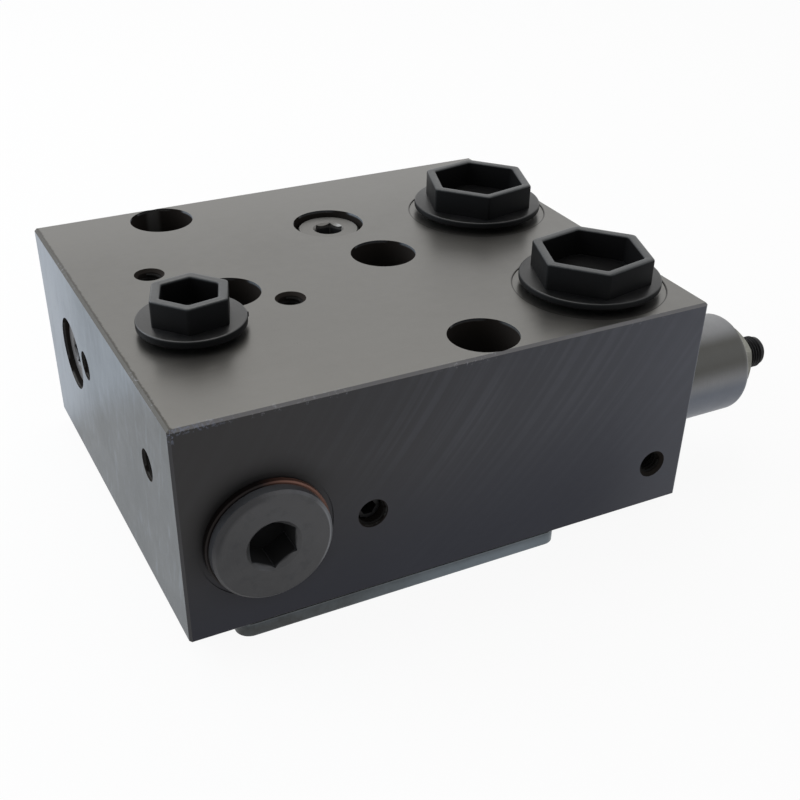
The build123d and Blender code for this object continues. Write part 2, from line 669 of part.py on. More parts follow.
# Check valve under the top plug
def check_poppet():
    guide_r = CHECK_CHAMBER_D / 2 - RUNNING_GAP
    seat_r = CHECK_SEAT_D / 2
    point = CHECK_GUIDE_LOW - 2 * CHECK_CONE_H
    poppet = turned(
        (0, point),
        (seat_r - CHECK_CONE_H, point),
        (seat_r + CHECK_CONE_H, CHECK_GUIDE_LOW),
        (guide_r, CHECK_GUIDE_LOW),
        (guide_r, CHECK_GUIDE_HIGH),
        (CHECK_STEM_D / 2, CHECK_GUIDE_HIGH),
        (CHECK_STEM_D / 2, CHECK_GUIDE_HIGH + CHECK_STEM_H),
        (0, CHECK_GUIDE_HIGH + CHECK_STEM_H),
    )
    guide_h = CHECK_GUIDE_HIGH - CHECK_GUIDE_LOW
    for turn in range(3):
        side = Rot(0, 0, 120 * turn + CHECK_FLAT_ANGLE) * Pos(guide_r * CHECK_FLAT_RATIO, 0, CHECK_GUIDE_LOW)
        poppet -= side * Box(guide_r, 2 * guide_r, guide_h, align=(Align.MIN, Align.CENTER, Align.MIN))
    return poppet


def check_spring():
    low = CHECK_GUIDE_HIGH + SEAT_GAP
    high = -PLUG_SHOULDER - PLUG_SHANK + CHECK_POCKET_DEPTH - SEAT_GAP
    return coil(CHECK_SPRING_D - CHECK_SPRING_WIRE, CHECK_SPRING_WIRE, low, high, CHECK_SPRING_TURNS)


# Front plug and shuttle valve
def front_plug():
    low = WASHER_THICKNESS - SPOTFACE_DEPTH
    top = low + FRONT_HEAD_H
    shank_r = FRONT_THREAD_D / 2 - THREAD_GAP
    head_r = FRONT_HEAD_D / 2
    plug = turned(
        (0, top),
        (head_r - FRONT_HEAD_CHAMFER, top),
        (head_r, top - FRONT_HEAD_CHAMFER),
        (head_r, low),
        (shank_r, low),
        (shank_r, THREAD_LEAD - FRONT_SHANK),
        (shank_r - THREAD_LEAD, -FRONT_SHANK),
        (0, -FRONT_SHANK),
    )
    return plug - key_socket(FRONT_KEY, FRONT_KEY_DEPTH, FRONT_KEY_MOUTH_D, top, FRONT_KEY_CORNER)


def copper_washer():
    low = -SPOTFACE_DEPTH
    high = low + WASHER_THICKNESS
    return turned(
        (FRONT_THREAD_D / 2, low),
        (WASHER_D / 2 - WASHER_EDGE, low),
        (WASHER_D / 2, low + WASHER_EDGE),
        (WASHER_D / 2, high - WASHER_EDGE),
        (WASHER_D / 2 - WASHER_EDGE, high),
        (FRONT_THREAD_D / 2, high),
    )


def shuttle_seat():
    low = -SEAT_SHOULDER_DEPTH
    high = low + SEAT_LENGTH
    outer = SEAT_BORE_D / 2 - THREAD_GAP
    groove = seal_section(SEAT_BORE_D)
    middle = low + SEAT_LENGTH * SEAT_SEAL_PLACE
    seat = turned(
        (SEAT_HOLE_D / 2, low),
        (outer - EDGE_BREAK, low),
        (outer, low + EDGE_BREAK),
        (outer, middle - groove),
        (outer - groove, middle - groove),
        (outer - groove, middle + groove),
        (outer, middle + groove),
        (outer, high - EDGE_BREAK),
        (outer - EDGE_BREAK, high),
        (SEAT_HOLE_D / 2, high),
    )
    return seat - hexagon(SEAT_KEY, high - SEAT_KEY_DEPTH, high + OVERCUT)


def seal_section(bore_d):
    """Width and depth of a radial seal groove for a bore."""
    return RADIAL_GROOVE_DEPTH + RADIAL_GROOVE_SHARE * bore_d


def radial_seal(bore_d, height):
    """O-ring between a bore and the groove of a sleeve."""
    gap = THREAD_GAP + seal_section(bore_d)
    cord_r = gap / 2 - SEAL_GAP
    return ring(bore_d / 2 - gap / 2, cord_r, height)


def shuttle_seat_seal():
    return radial_seal(SEAT_BORE_D, SEAT_LENGTH * SEAT_SEAL_PLACE - SEAT_SHOULDER_DEPTH)


def ball_centre(seat_d):
    """Distance of the shuttle ball's centre from a seat edge."""
    return ((BALL_D / 2) ** 2 - (seat_d / 2) ** 2) ** 0.5


def shuttle_ball():
    centre = -SEAT_SHOULDER_DEPTH - ball_centre(SEAT_HOLE_D) - SEAT_GAP
    return Pos(0, 0, centre) * Sphere(BALL_D / 2)


def set_screw():
    outer = SET_SCREW_D / 2 - THREAD_GAP
    screw = turned(
        (0, 0),
        (outer - THREAD_LEAD, 0),
        (outer, -THREAD_LEAD),
        (outer, THREAD_LEAD - SET_SCREW_LENGTH),
        (outer - THREAD_LEAD, -SET_SCREW_LENGTH),
        (0, -SET_SCREW_LENGTH),
    )
    return screw - hexagon(SET_SCREW_KEY, -SET_SCREW_KEY_DEPTH, OVERCUT)


# Counterbalance cartridge
def cartridge_sleeve():
    flange_top = SLEEVE_FLANGE_H - CARTRIDGE_THREAD_DEPTH
    flange_r = CARTRIDGE_THREAD_D / 2 - SLEEVE_FLANGE_GAP
    pilot_r = PILOT_SECTION_D / 2 - RUNNING_GAP
    line_r = LINE_SECTION_D / 2 - RUNNING_GAP
    nose_r = NOSE_SECTION_D / 2 - RUNNING_GAP
    pilot_groove = seal_section(PILOT_SECTION_D)
    nose_groove = seal_section(NOSE_SECTION_D)
    pilot_seal = pilot_seal_depth()
    nose_seal = nose_seal_depth()
    nose_end = SLEEVE_NOSE_GAP - NOSE_SECTION_END
    sleeve = turned(
        (PILOT_PISTON_D / 2, flange_top),
        (flange_r, flange_top),
        (flange_r, -CARTRIDGE_THREAD_DEPTH),
        (pilot_r, -CARTRIDGE_THREAD_DEPTH),
        (pilot_r, -pilot_seal + pilot_groove),
        (pilot_r - pilot_groove, -pilot_seal + pilot_groove),
        (pilot_r - pilot_groove, -pilot_seal - pilot_groove),
        (pilot_r, -pilot_seal - pilot_groove),
        (pilot_r, SLEEVE_STEP_GAP - PILOT_SECTION_END),
        (line_r, SLEEVE_STEP_GAP - PILOT_SECTION_END),
        (line_r, SLEEVE_STEP_GAP - LINE_SECTION_END),
        (nose_r, SLEEVE_STEP_GAP - LINE_SECTION_END),
        (nose_r, -nose_seal + nose_groove),
        (nose_r - nose_groove, -nose_seal + nose_groove),
        (nose_r - nose_groove, -nose_seal - nose_groove),
        (nose_r, -nose_seal - nose_groove),
        (nose_r, nose_end + EDGE_BREAK),
        (nose_r - EDGE_BREAK, nose_end),
        (SLEEVE_SEAT_D / 2, nose_end),
        (SLEEVE_SEAT_D / 2, -SLEEVE_SEAT_DEPTH),
        (POPPET_D / 2, -SLEEVE_SEAT_DEPTH),
        (POPPET_D / 2, -PILOT_STEP_DEPTH),
        (PILOT_PISTON_D / 2, -PILOT_STEP_DEPTH),
    )
    for turn in range(LINE_HOLE_COUNT):
        hole = Rot(0, 0, 360 / LINE_HOLE_COUNT * turn) * Pos(0, 0, LINE_PORT_X - X_RIGHT) * Rot(0, 90, 0)
        sleeve -= hole * disc(LINE_HOLE_D, 0, LINE_SECTION_D)
    for turn in range(PILOT_HOLE_COUNT):
        hole = Rot(0, 0, 360 / PILOT_HOLE_COUNT * turn) * Pos(0, 0, -PILOT_STEP_DEPTH + PILOT_CHAMBER_H / 2)
        sleeve -= hole * Rot(0, 90, 0) * disc(PILOT_HOLE_D, 0, PILOT_SECTION_D)
    return sleeve


def pilot_seal_depth():
    return PILOT_SECTION_END - seal_section(PILOT_SECTION_D) - PILOT_SEAL_LAND


def nose_seal_depth():
    return LINE_SECTION_END + seal_section(NOSE_SECTION_D) + NOSE_SEAL_LAND


def cartridge_seals():
    return [
        radial_seal(PILOT_SECTION_D, -pilot_seal_depth()),
        radial_seal(NOSE_SECTION_D, -nose_seal_depth()),
    ]


def counterbalance_poppet():
    seat = -SLEEVE_SEAT_DEPTH + SEAT_GAP
    slope = tan(radians(POPPET_CONE_ANGLE))
    nose = seat - (SLEEVE_SEAT_D - POPPET_NOSE_D) / 2 / slope
    head = seat + (POPPET_HEAD_D - SLEEVE_SEAT_D) / 2 / slope
    land_r = POPPET_D / 2 - RUNNING_GAP
    piston_r = PILOT_PISTON_D / 2 - RUNNING_GAP
    step = -PILOT_STEP_DEPTH + PILOT_CHAMBER_H
    return turned(
        (0, nose),
        (POPPET_NOSE_D / 2, nose),
        (POPPET_HEAD_D / 2, head),
        (POPPET_HEAD_D / 2, head + POPPET_RIM_H),
        (POPPET_WAIST_D / 2, head + POPPET_RIM_H + POPPET_FILLET_H),
        (POPPET_WAIST_D / 2, -POPPET_LAND_DEPTH),
        (land_r, -POPPET_LAND_DEPTH),
        (land_r, step),
        (piston_r, step),
        (piston_r, -POPPET_TAIL_DEPTH),
        (0, -POPPET_TAIL_DEPTH),
    )


def lower_spring_seat():
    low = -POPPET_TAIL_DEPTH
    boss_top = SPRING_LOW + SPRING_BOSS_H
    return turned(
        (0, low),
        (SPRING_SEAT_D / 2 - EDGE_BREAK, low),
        (SPRING_SEAT_D / 2, low + EDGE_BREAK),
        (SPRING_SEAT_D / 2, SPRING_LOW),
        (SPRING_BOSS_D / 2, SPRING_LOW),
        (SPRING_BOSS_D / 2, boss_top - EDGE_BREAK),
        (SPRING_BOSS_D / 2 - EDGE_BREAK, boss_top),
        (0, boss_top),
    )


def spring_plate():
    top = SPRING_PLATE_FROM_FACE
    boss_low = SPRING_HIGH - SPRING_BOSS_H
    outer = HOUSING_BORE_D / 2 - RUNNING_GAP
    groove = seal_section(HOUSING_BORE_D)
    middle = top - SPRING_PLATE_H / 2
    return turned(
        (0, top - SCREW_SEAT_DEPTH),
        (SCREW_SEAT_D / 2, top),
        (outer - EDGE_BREAK, top),
        (outer, top - EDGE_BREAK),
        (outer, middle + groove),
        (outer - groove, middle + groove),
        (outer - groove, middle - groove),
        (outer, middle - groove),
        (outer, SPRING_HIGH),
        (SPRING_BOSS_D / 2, SPRING_HIGH),
        (SPRING_BOSS_D / 2, boss_low + EDGE_BREAK),
        (SPRING_BOSS_D / 2 - EDGE_BREAK, boss_low),
        (0, boss_low),
    )


def spring_plate_seal():
    return radial_seal(HOUSING_BORE_D, SPRING_PLATE_FROM_FACE - SPRING_PLATE_H / 2)


def main_spring():
    mean_d = SPRING_D - SPRING_WIRE
    return coil(mean_d, SPRING_WIRE, SPRING_LOW + SEAT_GAP, SPRING_HIGH - SEAT_GAP, SPRING_TURNS)


def spring_housing():
    shank_end = SLEEVE_FLANGE_H - CARTRIDGE_THREAD_DEPTH
    shank_r = CARTRIDGE_THREAD_D / 2 - THREAD_GAP
    outer = HOUSING_D / 2
    shell = turned(
        (0, shank_end),
        (shank_r - THREAD_LEAD, shank_end),
        (shank_r, shank_end + THREAD_LEAD),
        (shank_r, -HOUSING_NECK_LENGTH),
        (HOUSING_NECK_D / 2, -HOUSING_NECK_LENGTH),
        (HOUSING_NECK_D / 2, 0),
        (outer, 0),
        (outer, HOUSING_LENGTH),
        (0, HOUSING_LENGTH),
    )
    end_edge = shell.edges().filter_by(GeomType.CIRCLE).sort_by(Axis.Z)[-1]
    shell = fillet(end_edge, HOUSING_END_R)
    shell -= disc(HOUSING_BORE_D, shank_end - OVERCUT, HOUSING_LENGTH - HOUSING_END_WALL)
    return shell - disc(SCREW_D, 0, HOUSING_LENGTH + OVERCUT)


def housing_seal():
    gap = (CARTRIDGE_THREAD_D - HOUSING_NECK_D) / 2
    return ring(CARTRIDGE_THREAD_D / 2 - gap / 2, gap / 2 - SEAL_GAP, -HOUSING_NECK_LENGTH / 2)


def adjusting_screw():
    point = SPRING_PLATE_FROM_FACE - SCREW_TIP_GAP
    outer = SCREW_D / 2 - THREAD_GAP
    screw = turned(
        (0, point),
        (SCREW_POINT_D / 2, point),
        (outer, point + SCREW_POINT_H),
        (outer, SCREW_REACH - SCREW_END_H),
        (SCREW_END_D / 2, SCREW_REACH),
        (0, SCREW_REACH),
    )
    return screw - hexagon(SCREW_KEY, SCREW_REACH - SCREW_KEY_DEPTH, SCREW_REACH + OVERCUT)


def lock_nut():
    low = HOUSING_LENGTH
    high = low + NUT_H
    corner_r = NUT_AF / 2 / cos(pi / 6)
    face_r = NUT_AF / 2 * NUT_FACE_RATIO
    chamfer_h = (corner_r - face_r) * tan(radians(NUT_CHAMFER_ANGLE))
    envelope = turned(
        (0, low),
        (face_r, low),
        (corner_r, low + chamfer_h),
        (corner_r, high - chamfer_h),
        (face_r, high),
        (0, high),
    )
    nut = hexagon(NUT_AF, low, high, NUT_CORNER) & envelope
    nut -= disc(SCREW_D, low - OVERCUT, high + OVERCUT)
    return nut - disc(NUT_SEAL_D, low - OVERCUT, low + NUT_SEAL_H + SEAL_GAP)


def nut_seal():
    low = HOUSING_LENGTH
    outer = disc(NUT_SEAL_D - 2 * SEAL_GAP, low, low + NUT_SEAL_H)
    return outer - disc(SCREW_D + 2 * SEAL_GAP, low - OVERCUT, low + NUT_SEAL_H + OVERCUT)


# Pieces in their places
def sunk(plane, depth):
    return plane.offset(-depth)


PARTS = {
    "valve_body": [valve_body()],
    "mounting_plate": [mounting_plate()],
    "plate_screws": [on_bottom(x, y, 0) * plate_screw() for x, y in PLATE_SCREW_PLACES],
    "plate_seals": [on_bottom(x, y) * face_seal(BLOCK_SEAL_CORD) for x, y, _ in MOTOR_PORTS],
    "motor_port_seals": [on_bottom(x, y, 0) * face_seal(PLATE_SEAL_CORD) for x, y, _ in MOTOR_PORTS],
    "port_a_cap": [LINE_PORT_A * line_port_cap()],
    "port_b_cap": [LINE_PORT_B * line_port_cap()],
    "brake_port_cap": [BRAKE_PORT * brake_port_cap()],
    "port_a_cap_seal": [LINE_PORT_A * cap_seal(LINE_PORT_D)],
    "port_b_cap_seal": [LINE_PORT_B * cap_seal(LINE_PORT_D)],
    "brake_port_cap_seal": [BRAKE_PORT * cap_seal(BRAKE_PORT_D)],
    "front_plug": [SHUTTLE * front_plug()],
    "copper_washer": [SHUTTLE * copper_washer()],
    "shuttle_seat": [SHUTTLE * shuttle_seat()],
    "shuttle_seat_seal": [SHUTTLE * shuttle_seat_seal()],
    "shuttle_ball": [SHUTTLE * shuttle_ball()],
    "top_plug": [CHECK_VALVE * top_plug()],
    "top_plug_seal": [CHECK_VALVE * plug_seal()],
    "check_poppet": [CHECK_VALVE * check_poppet()],
    "check_spring": [CHECK_VALVE * check_spring()],
    "side_plug": [CHANNEL_END * sunk_plug()],
    "side_plug_seal": [CHANNEL_END * plug_seal()],
    "pilot_hole_screws": [
        sunk(FRONT_PILOT, FRONT_PILOT_SUNK) * set_screw(),
        sunk(LEFT_PILOT_A, LEFT_PILOT_SUNK) * set_screw(),
        sunk(LEFT_PILOT_B, LEFT_PILOT_SUNK) * set_screw(),
    ],
    "cartridge_sleeve": [CARTRIDGE * cartridge_sleeve()],
    "cartridge_seals": [CARTRIDGE * seal for seal in cartridge_seals()],
    "counterbalance_poppet": [CARTRIDGE * counterbalance_poppet()],
    "lower_spring_seat": [CARTRIDGE * lower_spring_seat()],
    "main_spring": [CARTRIDGE * main_spring()],
    "spring_plate": [CARTRIDGE * spring_plate()],
    "spring_plate_seal": [CARTRIDGE * spring_plate_seal()],
    "spring_housing": [CARTRIDGE * spring_housing()],
    "housing_seal": [CARTRIDGE * housing_seal()],
    "adjusting_screw": [CARTRIDGE * adjusting_screw()],
    "lock_nut": [CARTRIDGE * lock_nut()],
    "lock_nut_seal": [CARTRIDGE * nut_seal()],
}

os.makedirs("parts", exist_ok=True)
for name, solids in PARTS.items():
    shape = solids[0] if len(solids) == 1 else Compound(children=solids)
    export_step(shape, f"parts/{name}.step")
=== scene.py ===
import math
from collections import namedtuple

import bmesh
import bpy
from mathutils import Matrix, Vector


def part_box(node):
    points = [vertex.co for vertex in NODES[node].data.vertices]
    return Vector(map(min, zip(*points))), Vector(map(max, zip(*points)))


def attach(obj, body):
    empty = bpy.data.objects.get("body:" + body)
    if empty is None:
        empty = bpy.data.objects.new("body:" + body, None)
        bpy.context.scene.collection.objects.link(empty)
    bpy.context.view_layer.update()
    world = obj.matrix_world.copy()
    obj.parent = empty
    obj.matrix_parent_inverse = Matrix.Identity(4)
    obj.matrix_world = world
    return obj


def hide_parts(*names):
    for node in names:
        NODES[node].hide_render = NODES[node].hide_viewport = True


bl_info = {
    "name": "Motor brake valve",
    "version": (1, 0, 0),
    "blender": (4, 5, 0),
    "location": "View3D > Sidebar > Valve",
    "description": "Dresses a hydraulic motor brake valve with its caps, threads, finishes and stage",
    "category": "Object",
}

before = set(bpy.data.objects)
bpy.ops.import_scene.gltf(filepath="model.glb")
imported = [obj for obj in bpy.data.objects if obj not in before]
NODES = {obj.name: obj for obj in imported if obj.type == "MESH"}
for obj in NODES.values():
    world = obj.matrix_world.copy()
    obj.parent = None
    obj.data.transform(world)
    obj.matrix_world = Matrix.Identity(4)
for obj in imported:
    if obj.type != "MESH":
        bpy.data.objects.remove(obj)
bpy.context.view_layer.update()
BLOCK_LOW, BLOCK_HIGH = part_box("valve_body")
MM = 0.001

# Moulded caps
CapShape = namedtuple("CapShape", "thread pitch flats flange_radius flange_height gloss")
LINE_CAP = CapShape(27.0 * MM, 2.0 * MM, 29.7 * MM, 19.6 * MM, 1.9 * MM, 0.28)
BRAKE_CAP = CapShape(18.0 * MM, 1.5 * MM, 19.5 * MM, 14.3 * MM, 2.2 * MM, 0.45)
CAP_SHANK_WALL = 3.2 * MM
CAP_ROOF = 2.6 * MM
CAP_CHAMFER = 0.6 * MM
CAP_OVERLAP = 0.3 * MM
CUP_SINK, CUP_FLOOR = 0.5 * MM, 0.05 * MM
CUP_TAPER = 0.965
FLANGE_ROUNDING = 0.5 * MM
COLLAR_DEPTH, COLLAR_STEP = 1.6 * MM, 0.1 * MM
THREAD_DEPTH = 2.2 * MM
THREAD_SINK = 0.05 * MM
GATE_ANGLE = math.radians(-10.0)
GATE_RADIUS, GATE_LIFT, GATE_HEIGHT = 0.45 * MM, 1.75 * MM, 1.3 * MM

# Adjusting screw
KEY_FLATS = 5.0 * MM
KEY_DEPTH = 6.0 * MM
SCREW_END_CHAMFER = 0.9 * MM
SCREW_TIP_CHAMFER = 2.0 * MM
SCREW_THREAD_START = 2.1 * MM
SCREW_THREAD_ENDS = 3.6 * MM
SCREW_CREST_SINK = 0.01 * MM

# Thread ridges: shares of the pitch at the root and at the crest, and the caps' height and start in pitches
CAP_RIDGE, SCREW_RIDGE = (0.85, 0.15), (0.86, 0.14)
TAP_RIDGE, PILOT_RIDGE = (0.8, 0.2), (0.6, 0.2)
CAP_THREAD_HEIGHT, CAP_THREAD_START = 0.6, 0.7

# Threads in the small holes: mouth, way in, and for a hole with a set screw the free length
INWARD_X, INWARD_Y, INWARD_Z = (1, 0, 0), (0, 1, 0), (0, 0, -1)
TAPPED_HOLES = (
    ((-40.6 * MM, 17.3 * MM, BLOCK_HIGH.z), INWARD_Z),
    ((-10.9 * MM, -13.5 * MM, BLOCK_HIGH.z), INWARD_Z),
    ((79.3 * MM, BLOCK_LOW.y, 18.0 * MM), INWARD_Y),
)
PILOT_HOLES = (
    ((-10.9 * MM, BLOCK_LOW.y, 28.7 * MM), INWARD_Y, 2.6 * MM),
    ((BLOCK_LOW.x, 16.2 * MM, 43.7 * MM), INWARD_X, 4.4 * MM),
    ((BLOCK_LOW.x, -42.5 * MM, 45.1 * MM), INWARD_X, 4.4 * MM),
)
TAP_ROOT, TAP_CREST = 3.43 * MM, 3.02 * MM
TAP_LENGTH, TAP_START = 8.6 * MM, 1.5 * MM
PILOT_ROOT, PILOT_CREST = 4.03 * MM, 3.62 * MM
PILOT_RUNOUT, PILOT_START = 0.9 * MM, 1.2 * MM

# Finishes, in millimetres where they are lengths
QUARTER = math.pi / 2
ALONG_X, ALONG_Y, ALONG_Z = (0, QUARTER, 0), (-QUARTER, 0, 0), (0, 0, 0)
GRAIN_ALONG_X = (0.05, 1.4, 1.4)
CUTTER_CENTRE = (0.0, 0.0, 165.0)
CUTTER_RADIUS = 200.0
CAP_CIRCLE_RADIUS = 21.3
CUP_TOP = 76.9
PLUG_FACE_RADIUS = 15.0
LARGE_KEY_REACH, SMALL_KEY_REACH = 6.9, 4.6
GRIME = (0.05, 0.045, 0.04)
# Painted shade: the near black colour laid inside the block's holes
HOLE_PAINTED_SHADE = (0.022, 0.019, 0.017)
HOLE_ROUGH = 0.95
# The block's chamfers: direction, tone and its share; the tones are painted highlights on the chamfers that face the
# light and painted shade on those that face away
BLOCK_CHAMFER_PAINTED_LIGHT = (
    ((-1, 0, 1), (0.05, 0.047, 0.04), 0.9),
    ((1, 0, 1), (0.055, 0.052, 0.045), 0.8),
    ((-1, 0, -1), (0.33, 0.36, 0.40), 0.8),
    ((1, -1, 0), (0.30, 0.31, 0.33), 0.7),
    ((-1, -1, 0), (0.022, 0.022, 0.026), 0.85),
    ((0, -1, 1), (0.11, 0.108, 0.115), 0.7),
)

# Stage: the part of the floor's white that doesn't take the object's shadow, the lights (setting of the power,
# colour, size, place and target) and the camera
FLOOR_WHITE = 0.93
LIGHTS = {
    "side_light": ("key_power", (0.86, 0.92, 1.0), (0.9, 0.7), (-0.75, 0.45, 0.50), (0, 0, 0.03)),
    "top_light": ("top_power", (1.0, 0.98, 0.94), (0.8, 0.8), (0.1, 0.35, 0.9), (0, 0, 0.03)),
    "front_light": ("fill_power", (0.80, 0.86, 1.0), (0.5, 0.5), (0.75, -0.45, 0.45), (0.05, 0, 0.03)),
}
LENS, SENSOR = 52.272, 36.0
CAMERA_SHIFT = (0.02164, 0.10737)
CAMERA_PLACE = (-0.11827, -0.27987, 0.20336)
CAMERA_DEGREES = (55.3883, -0.6206, -26.6192)


# Sizes, colours and lights that a user would change
def length_setting(name, description, default):
    return bpy.props.FloatProperty(name=name, description=description, default=default, unit="LENGTH")


def angle_setting(name, description, degrees):
    return bpy.props.FloatProperty(
        name=name, description=description, default=math.radians(degrees), subtype="ANGLE")


def power_setting(name, description, default):
    return bpy.props.FloatProperty(name=name, description=description, default=default, unit="POWER")


def colour_setting(name, description, default):
    return bpy.props.FloatVectorProperty(name=name, description=description, default=default, subtype="COLOR")


class ValveSizes(bpy.types.PropertyGroup):
    cap_wall: length_setting("Cap wall", "Wall thickness of the hexagonal cups", 2.55 * MM)
    cap_corner: length_setting("Cap corner", "Rounding of the cups' corners and rims", 0.6 * MM)
    cap_lift: length_setting("Cap lift", "Height of the flanges above the block", 1.45 * MM)
    line_cap_corner_angle: angle_setting("Line cap turn", "Angle of a corner of the two large cups", 11.0)
    brake_cap_corner_angle: angle_setting("Brake cap turn", "Angle of a corner of the small cup", 9.4)
    screw_pitch: length_setting("Screw pitch", "Pitch of the adjusting screw's thread", 1.0 * MM)
    tap_pitch: length_setting("Tap pitch", "Pitch of the small tapped holes", 1.25 * MM)
    thread_depth: length_setting("Thread depth", "Height of the adjusting screw's thread", 0.55 * MM)


class ValveColours(bpy.types.PropertyGroup):
    block_top: colour_setting("Block top", "Ground steel of the top face", (0.150, 0.147, 0.139))
    # Painted shade: the front and back take a darker colour than the top, on the same steel
    block_front_painted_shade: colour_setting("Block front", "Milled steel of the front and back", (0.037, 0.0355, 0.036))
    # Painted reflection: the ends take a lighter, bluish colour than the top, on the same steel
    block_side_painted_reflection: colour_setting("Block sides", "Steel of the left and right faces", (0.166, 0.193, 0.222))
    plate: colour_setting("Plate", "Steel of the mounting plate", (0.15, 0.18, 0.205))
    plug: colour_setting("Plugs", "Steel of the plugs", (0.062, 0.062, 0.064))
    barrel: colour_setting("Barrel", "Plated steel of the spring housing", (0.24, 0.243, 0.25))
    plastic: colour_setting("Plastic", "Moulded plastic of the caps", (0.0030, 0.0031, 0.0033))
    copper: colour_setting("Copper", "Washer of the front plug", (0.15, 0.075, 0.055))


class ValveStage(bpy.types.PropertyGroup):
    key_power: power_setting("Side light", "Power of the large light at the rear left", 8.0)
    top_power: power_setting("Top light", "Power of the light above", 4.0)
    fill_power: power_setting("Front light", "Power of the weak light at the front right", 0.6)
    ambient: bpy.props.FloatProperty(name="Ambient", description="Brightness of the room", default=0.35, min=0.0)


# Modelling helpers
def only(obj):
    """Select one object and make it active."""
    bpy.ops.object.select_all(action="DESELECT")
    obj.select_set(True)
    bpy.context.view_layer.objects.active = obj
    return obj


def named(name):
    """Name the object that was just added."""
    obj = bpy.context.view_layer.objects.active
    obj.name = name
    obj.data.name = name
    return obj


def edit(obj):
    """Open an object in edit mode with nothing selected."""
    only(obj)
    bpy.ops.object.mode_set(mode="EDIT")
    bpy.ops.mesh.select_all(action="DESELECT")
    return bmesh.from_edit_mesh(obj.data)


def leave():
    """Go back to object mode."""
    bpy.ops.object.mode_set(mode="OBJECT")


def pick(obj, kind, test):
    """Select the faces or edges that pass a test."""
    bpy.ops.mesh.select_mode(type="FACE" if kind == "faces" else "EDGE")
    mesh = bmesh.from_edit_mesh(obj.data)
    for face in mesh.faces:
        face.select_set(False)
    for edge in mesh.edges:
        edge.select_set(False)
    chosen = [item for item in getattr(mesh, kind) if test(item)]
    if not chosen:
        raise RuntimeError(f"nothing to select on {obj.name}")
    for item in chosen:
        item.select_set(True)
    bmesh.update_edit_mesh(obj.data)


def modified(obj, kind, **settings):
    """Add a modifier, set it and apply it."""
    only(obj)
    bpy.ops.object.modifier_add(type=kind)
    modifier = obj.modifiers[-1]
    for name, value in settings.items():
        setattr(modifier, name, value)
    bpy.ops.object.modifier_apply(modifier=modifier.name)
    return obj


def joined(name, parts):
    """Join several objects into one piece."""
    bpy.ops.object.select_all(action="DESELECT")
    for part in parts:
        part.select_set(True)
    bpy.context.view_layer.objects.active = parts[0]
    bpy.ops.object.join()
    return named(name)


def settled(obj, smooth=35.0):
    """Apply the object's place to its mesh, turn the faces outwards and smooth the round ones."""
    only(obj)
    bpy.ops.object.transform_apply(location=True, rotation=True, scale=True)
    bpy.ops.object.mode_set(mode="EDIT")
    bpy.ops.mesh.select_all(action="SELECT")
    bpy.ops.mesh.normals_make_consistent(inside=False)
    leave()
    bpy.ops.object.shade_smooth_by_angle(angle=math.radians(smooth))
    return obj


def cylinder(name, radius, low, high, centre, sides=64, turn=0.0):
    """Upright cylinder between two heights."""
    bpy.ops.object.select_all(action="DESELECT")
    bpy.ops.mesh.primitive_cylinder_add(
        vertices=sides, radius=radius, depth=high - low,
        location=(centre[0], centre[1], (low + high) / 2), rotation=(0, 0, turn))
    obj = named(name)
    bpy.ops.object.transform_apply(location=True, rotation=True, scale=True)
    return obj


def upward(face):
    return face.normal.z > 0.99


def downward(face):
    return face.normal.z < -0.99


def at_height(height, reach=1e-5):
    """Test for edges that lie at one height."""
    return lambda edge: all(abs(vert.co.z - height) < reach for vert in edge.verts)


def thread_ridge(name, root, crest, pitch, length, shares, steps=32):
    """Helical ridge on Z from the origin upwards, closed at both ends, with its shares of the pitch."""
    bpy.ops.object.select_all(action="DESELECT")
    bpy.ops.mesh.primitive_plane_add(size=1.0)
    ridge = named(name)
    wide, narrow = (pitch * share for share in shares)
    corners = [(root, -wide / 2), (crest, -narrow / 2), (crest, narrow / 2), (root, wide / 2)]
    mesh = edit(ridge)
    for vert, (radius, height) in zip(mesh.faces[:][0].verts, corners):
        vert.co = (radius, 0, height)
    bmesh.update_edit_mesh(ridge.data)
    bpy.ops.mesh.select_all(action="SELECT")
    bpy.ops.mesh.delete(type="ONLY_FACE")
    leave()
    turns = max(1, int(length / pitch))
    modified(ridge, "SCREW", axis="Z", angle=2 * math.pi, screw_offset=pitch, iterations=turns,
             steps=steps, render_steps=steps, use_merge_vertices=False)
    edit(ridge)
    bpy.ops.mesh.select_all(action="SELECT")
    bpy.ops.mesh.remove_doubles(threshold=1e-7)
    bpy.ops.mesh.select_all(action="SELECT")
    bpy.ops.mesh.fill_holes(sides=4)
    leave()
    return ridge


def placed(obj, centre, direction):
    """Turn an upright piece so that its Z follows a direction, and move it."""
    turn = Vector((0, 0, 1)).rotation_difference(Vector(direction)).to_matrix().to_4x4()
    obj.matrix_world = Matrix.Translation(Vector(centre)) @ turn
    return settled(obj)


def axis_of(name):
    """Middle of a node's box."""
    low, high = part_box(name)
    return (low + high) / 2


# Shader trees
def feed(tree, socket, value):
    """Link a socket to another one, or give it a constant."""
    if isinstance(value, bpy.types.NodeSocket):
        tree.links.new(value, socket)
    else:
        socket.default_value = value


def wire(tree, made, **values):
    """Feed a node's sockets by their names."""
    for label, value in values.items():
        feed(tree, made.inputs[label.replace("_", " ")], value)


def node(tree, kind, values=None, **settings):
    """Add a node, set it and feed its inputs."""
    made = tree.nodes.new(kind)
    for name, value in settings.items():
        setattr(made, name, value)
    for key, value in (values or {}).items():
        feed(tree, made.inputs[key], value)
    return made


def calc(tree, operation, *values):
    """Math node."""
    return node(tree, "ShaderNodeMath", dict(enumerate(values)), operation=operation).outputs[0]


def times(tree, first, second):
    """Product of two values."""
    return calc(tree, "MULTIPLY", first, second)


def linear(tree, value, factor, offset):
    """Value times factor, plus offset."""
    return calc(tree, "MULTIPLY_ADD", value, factor, offset)


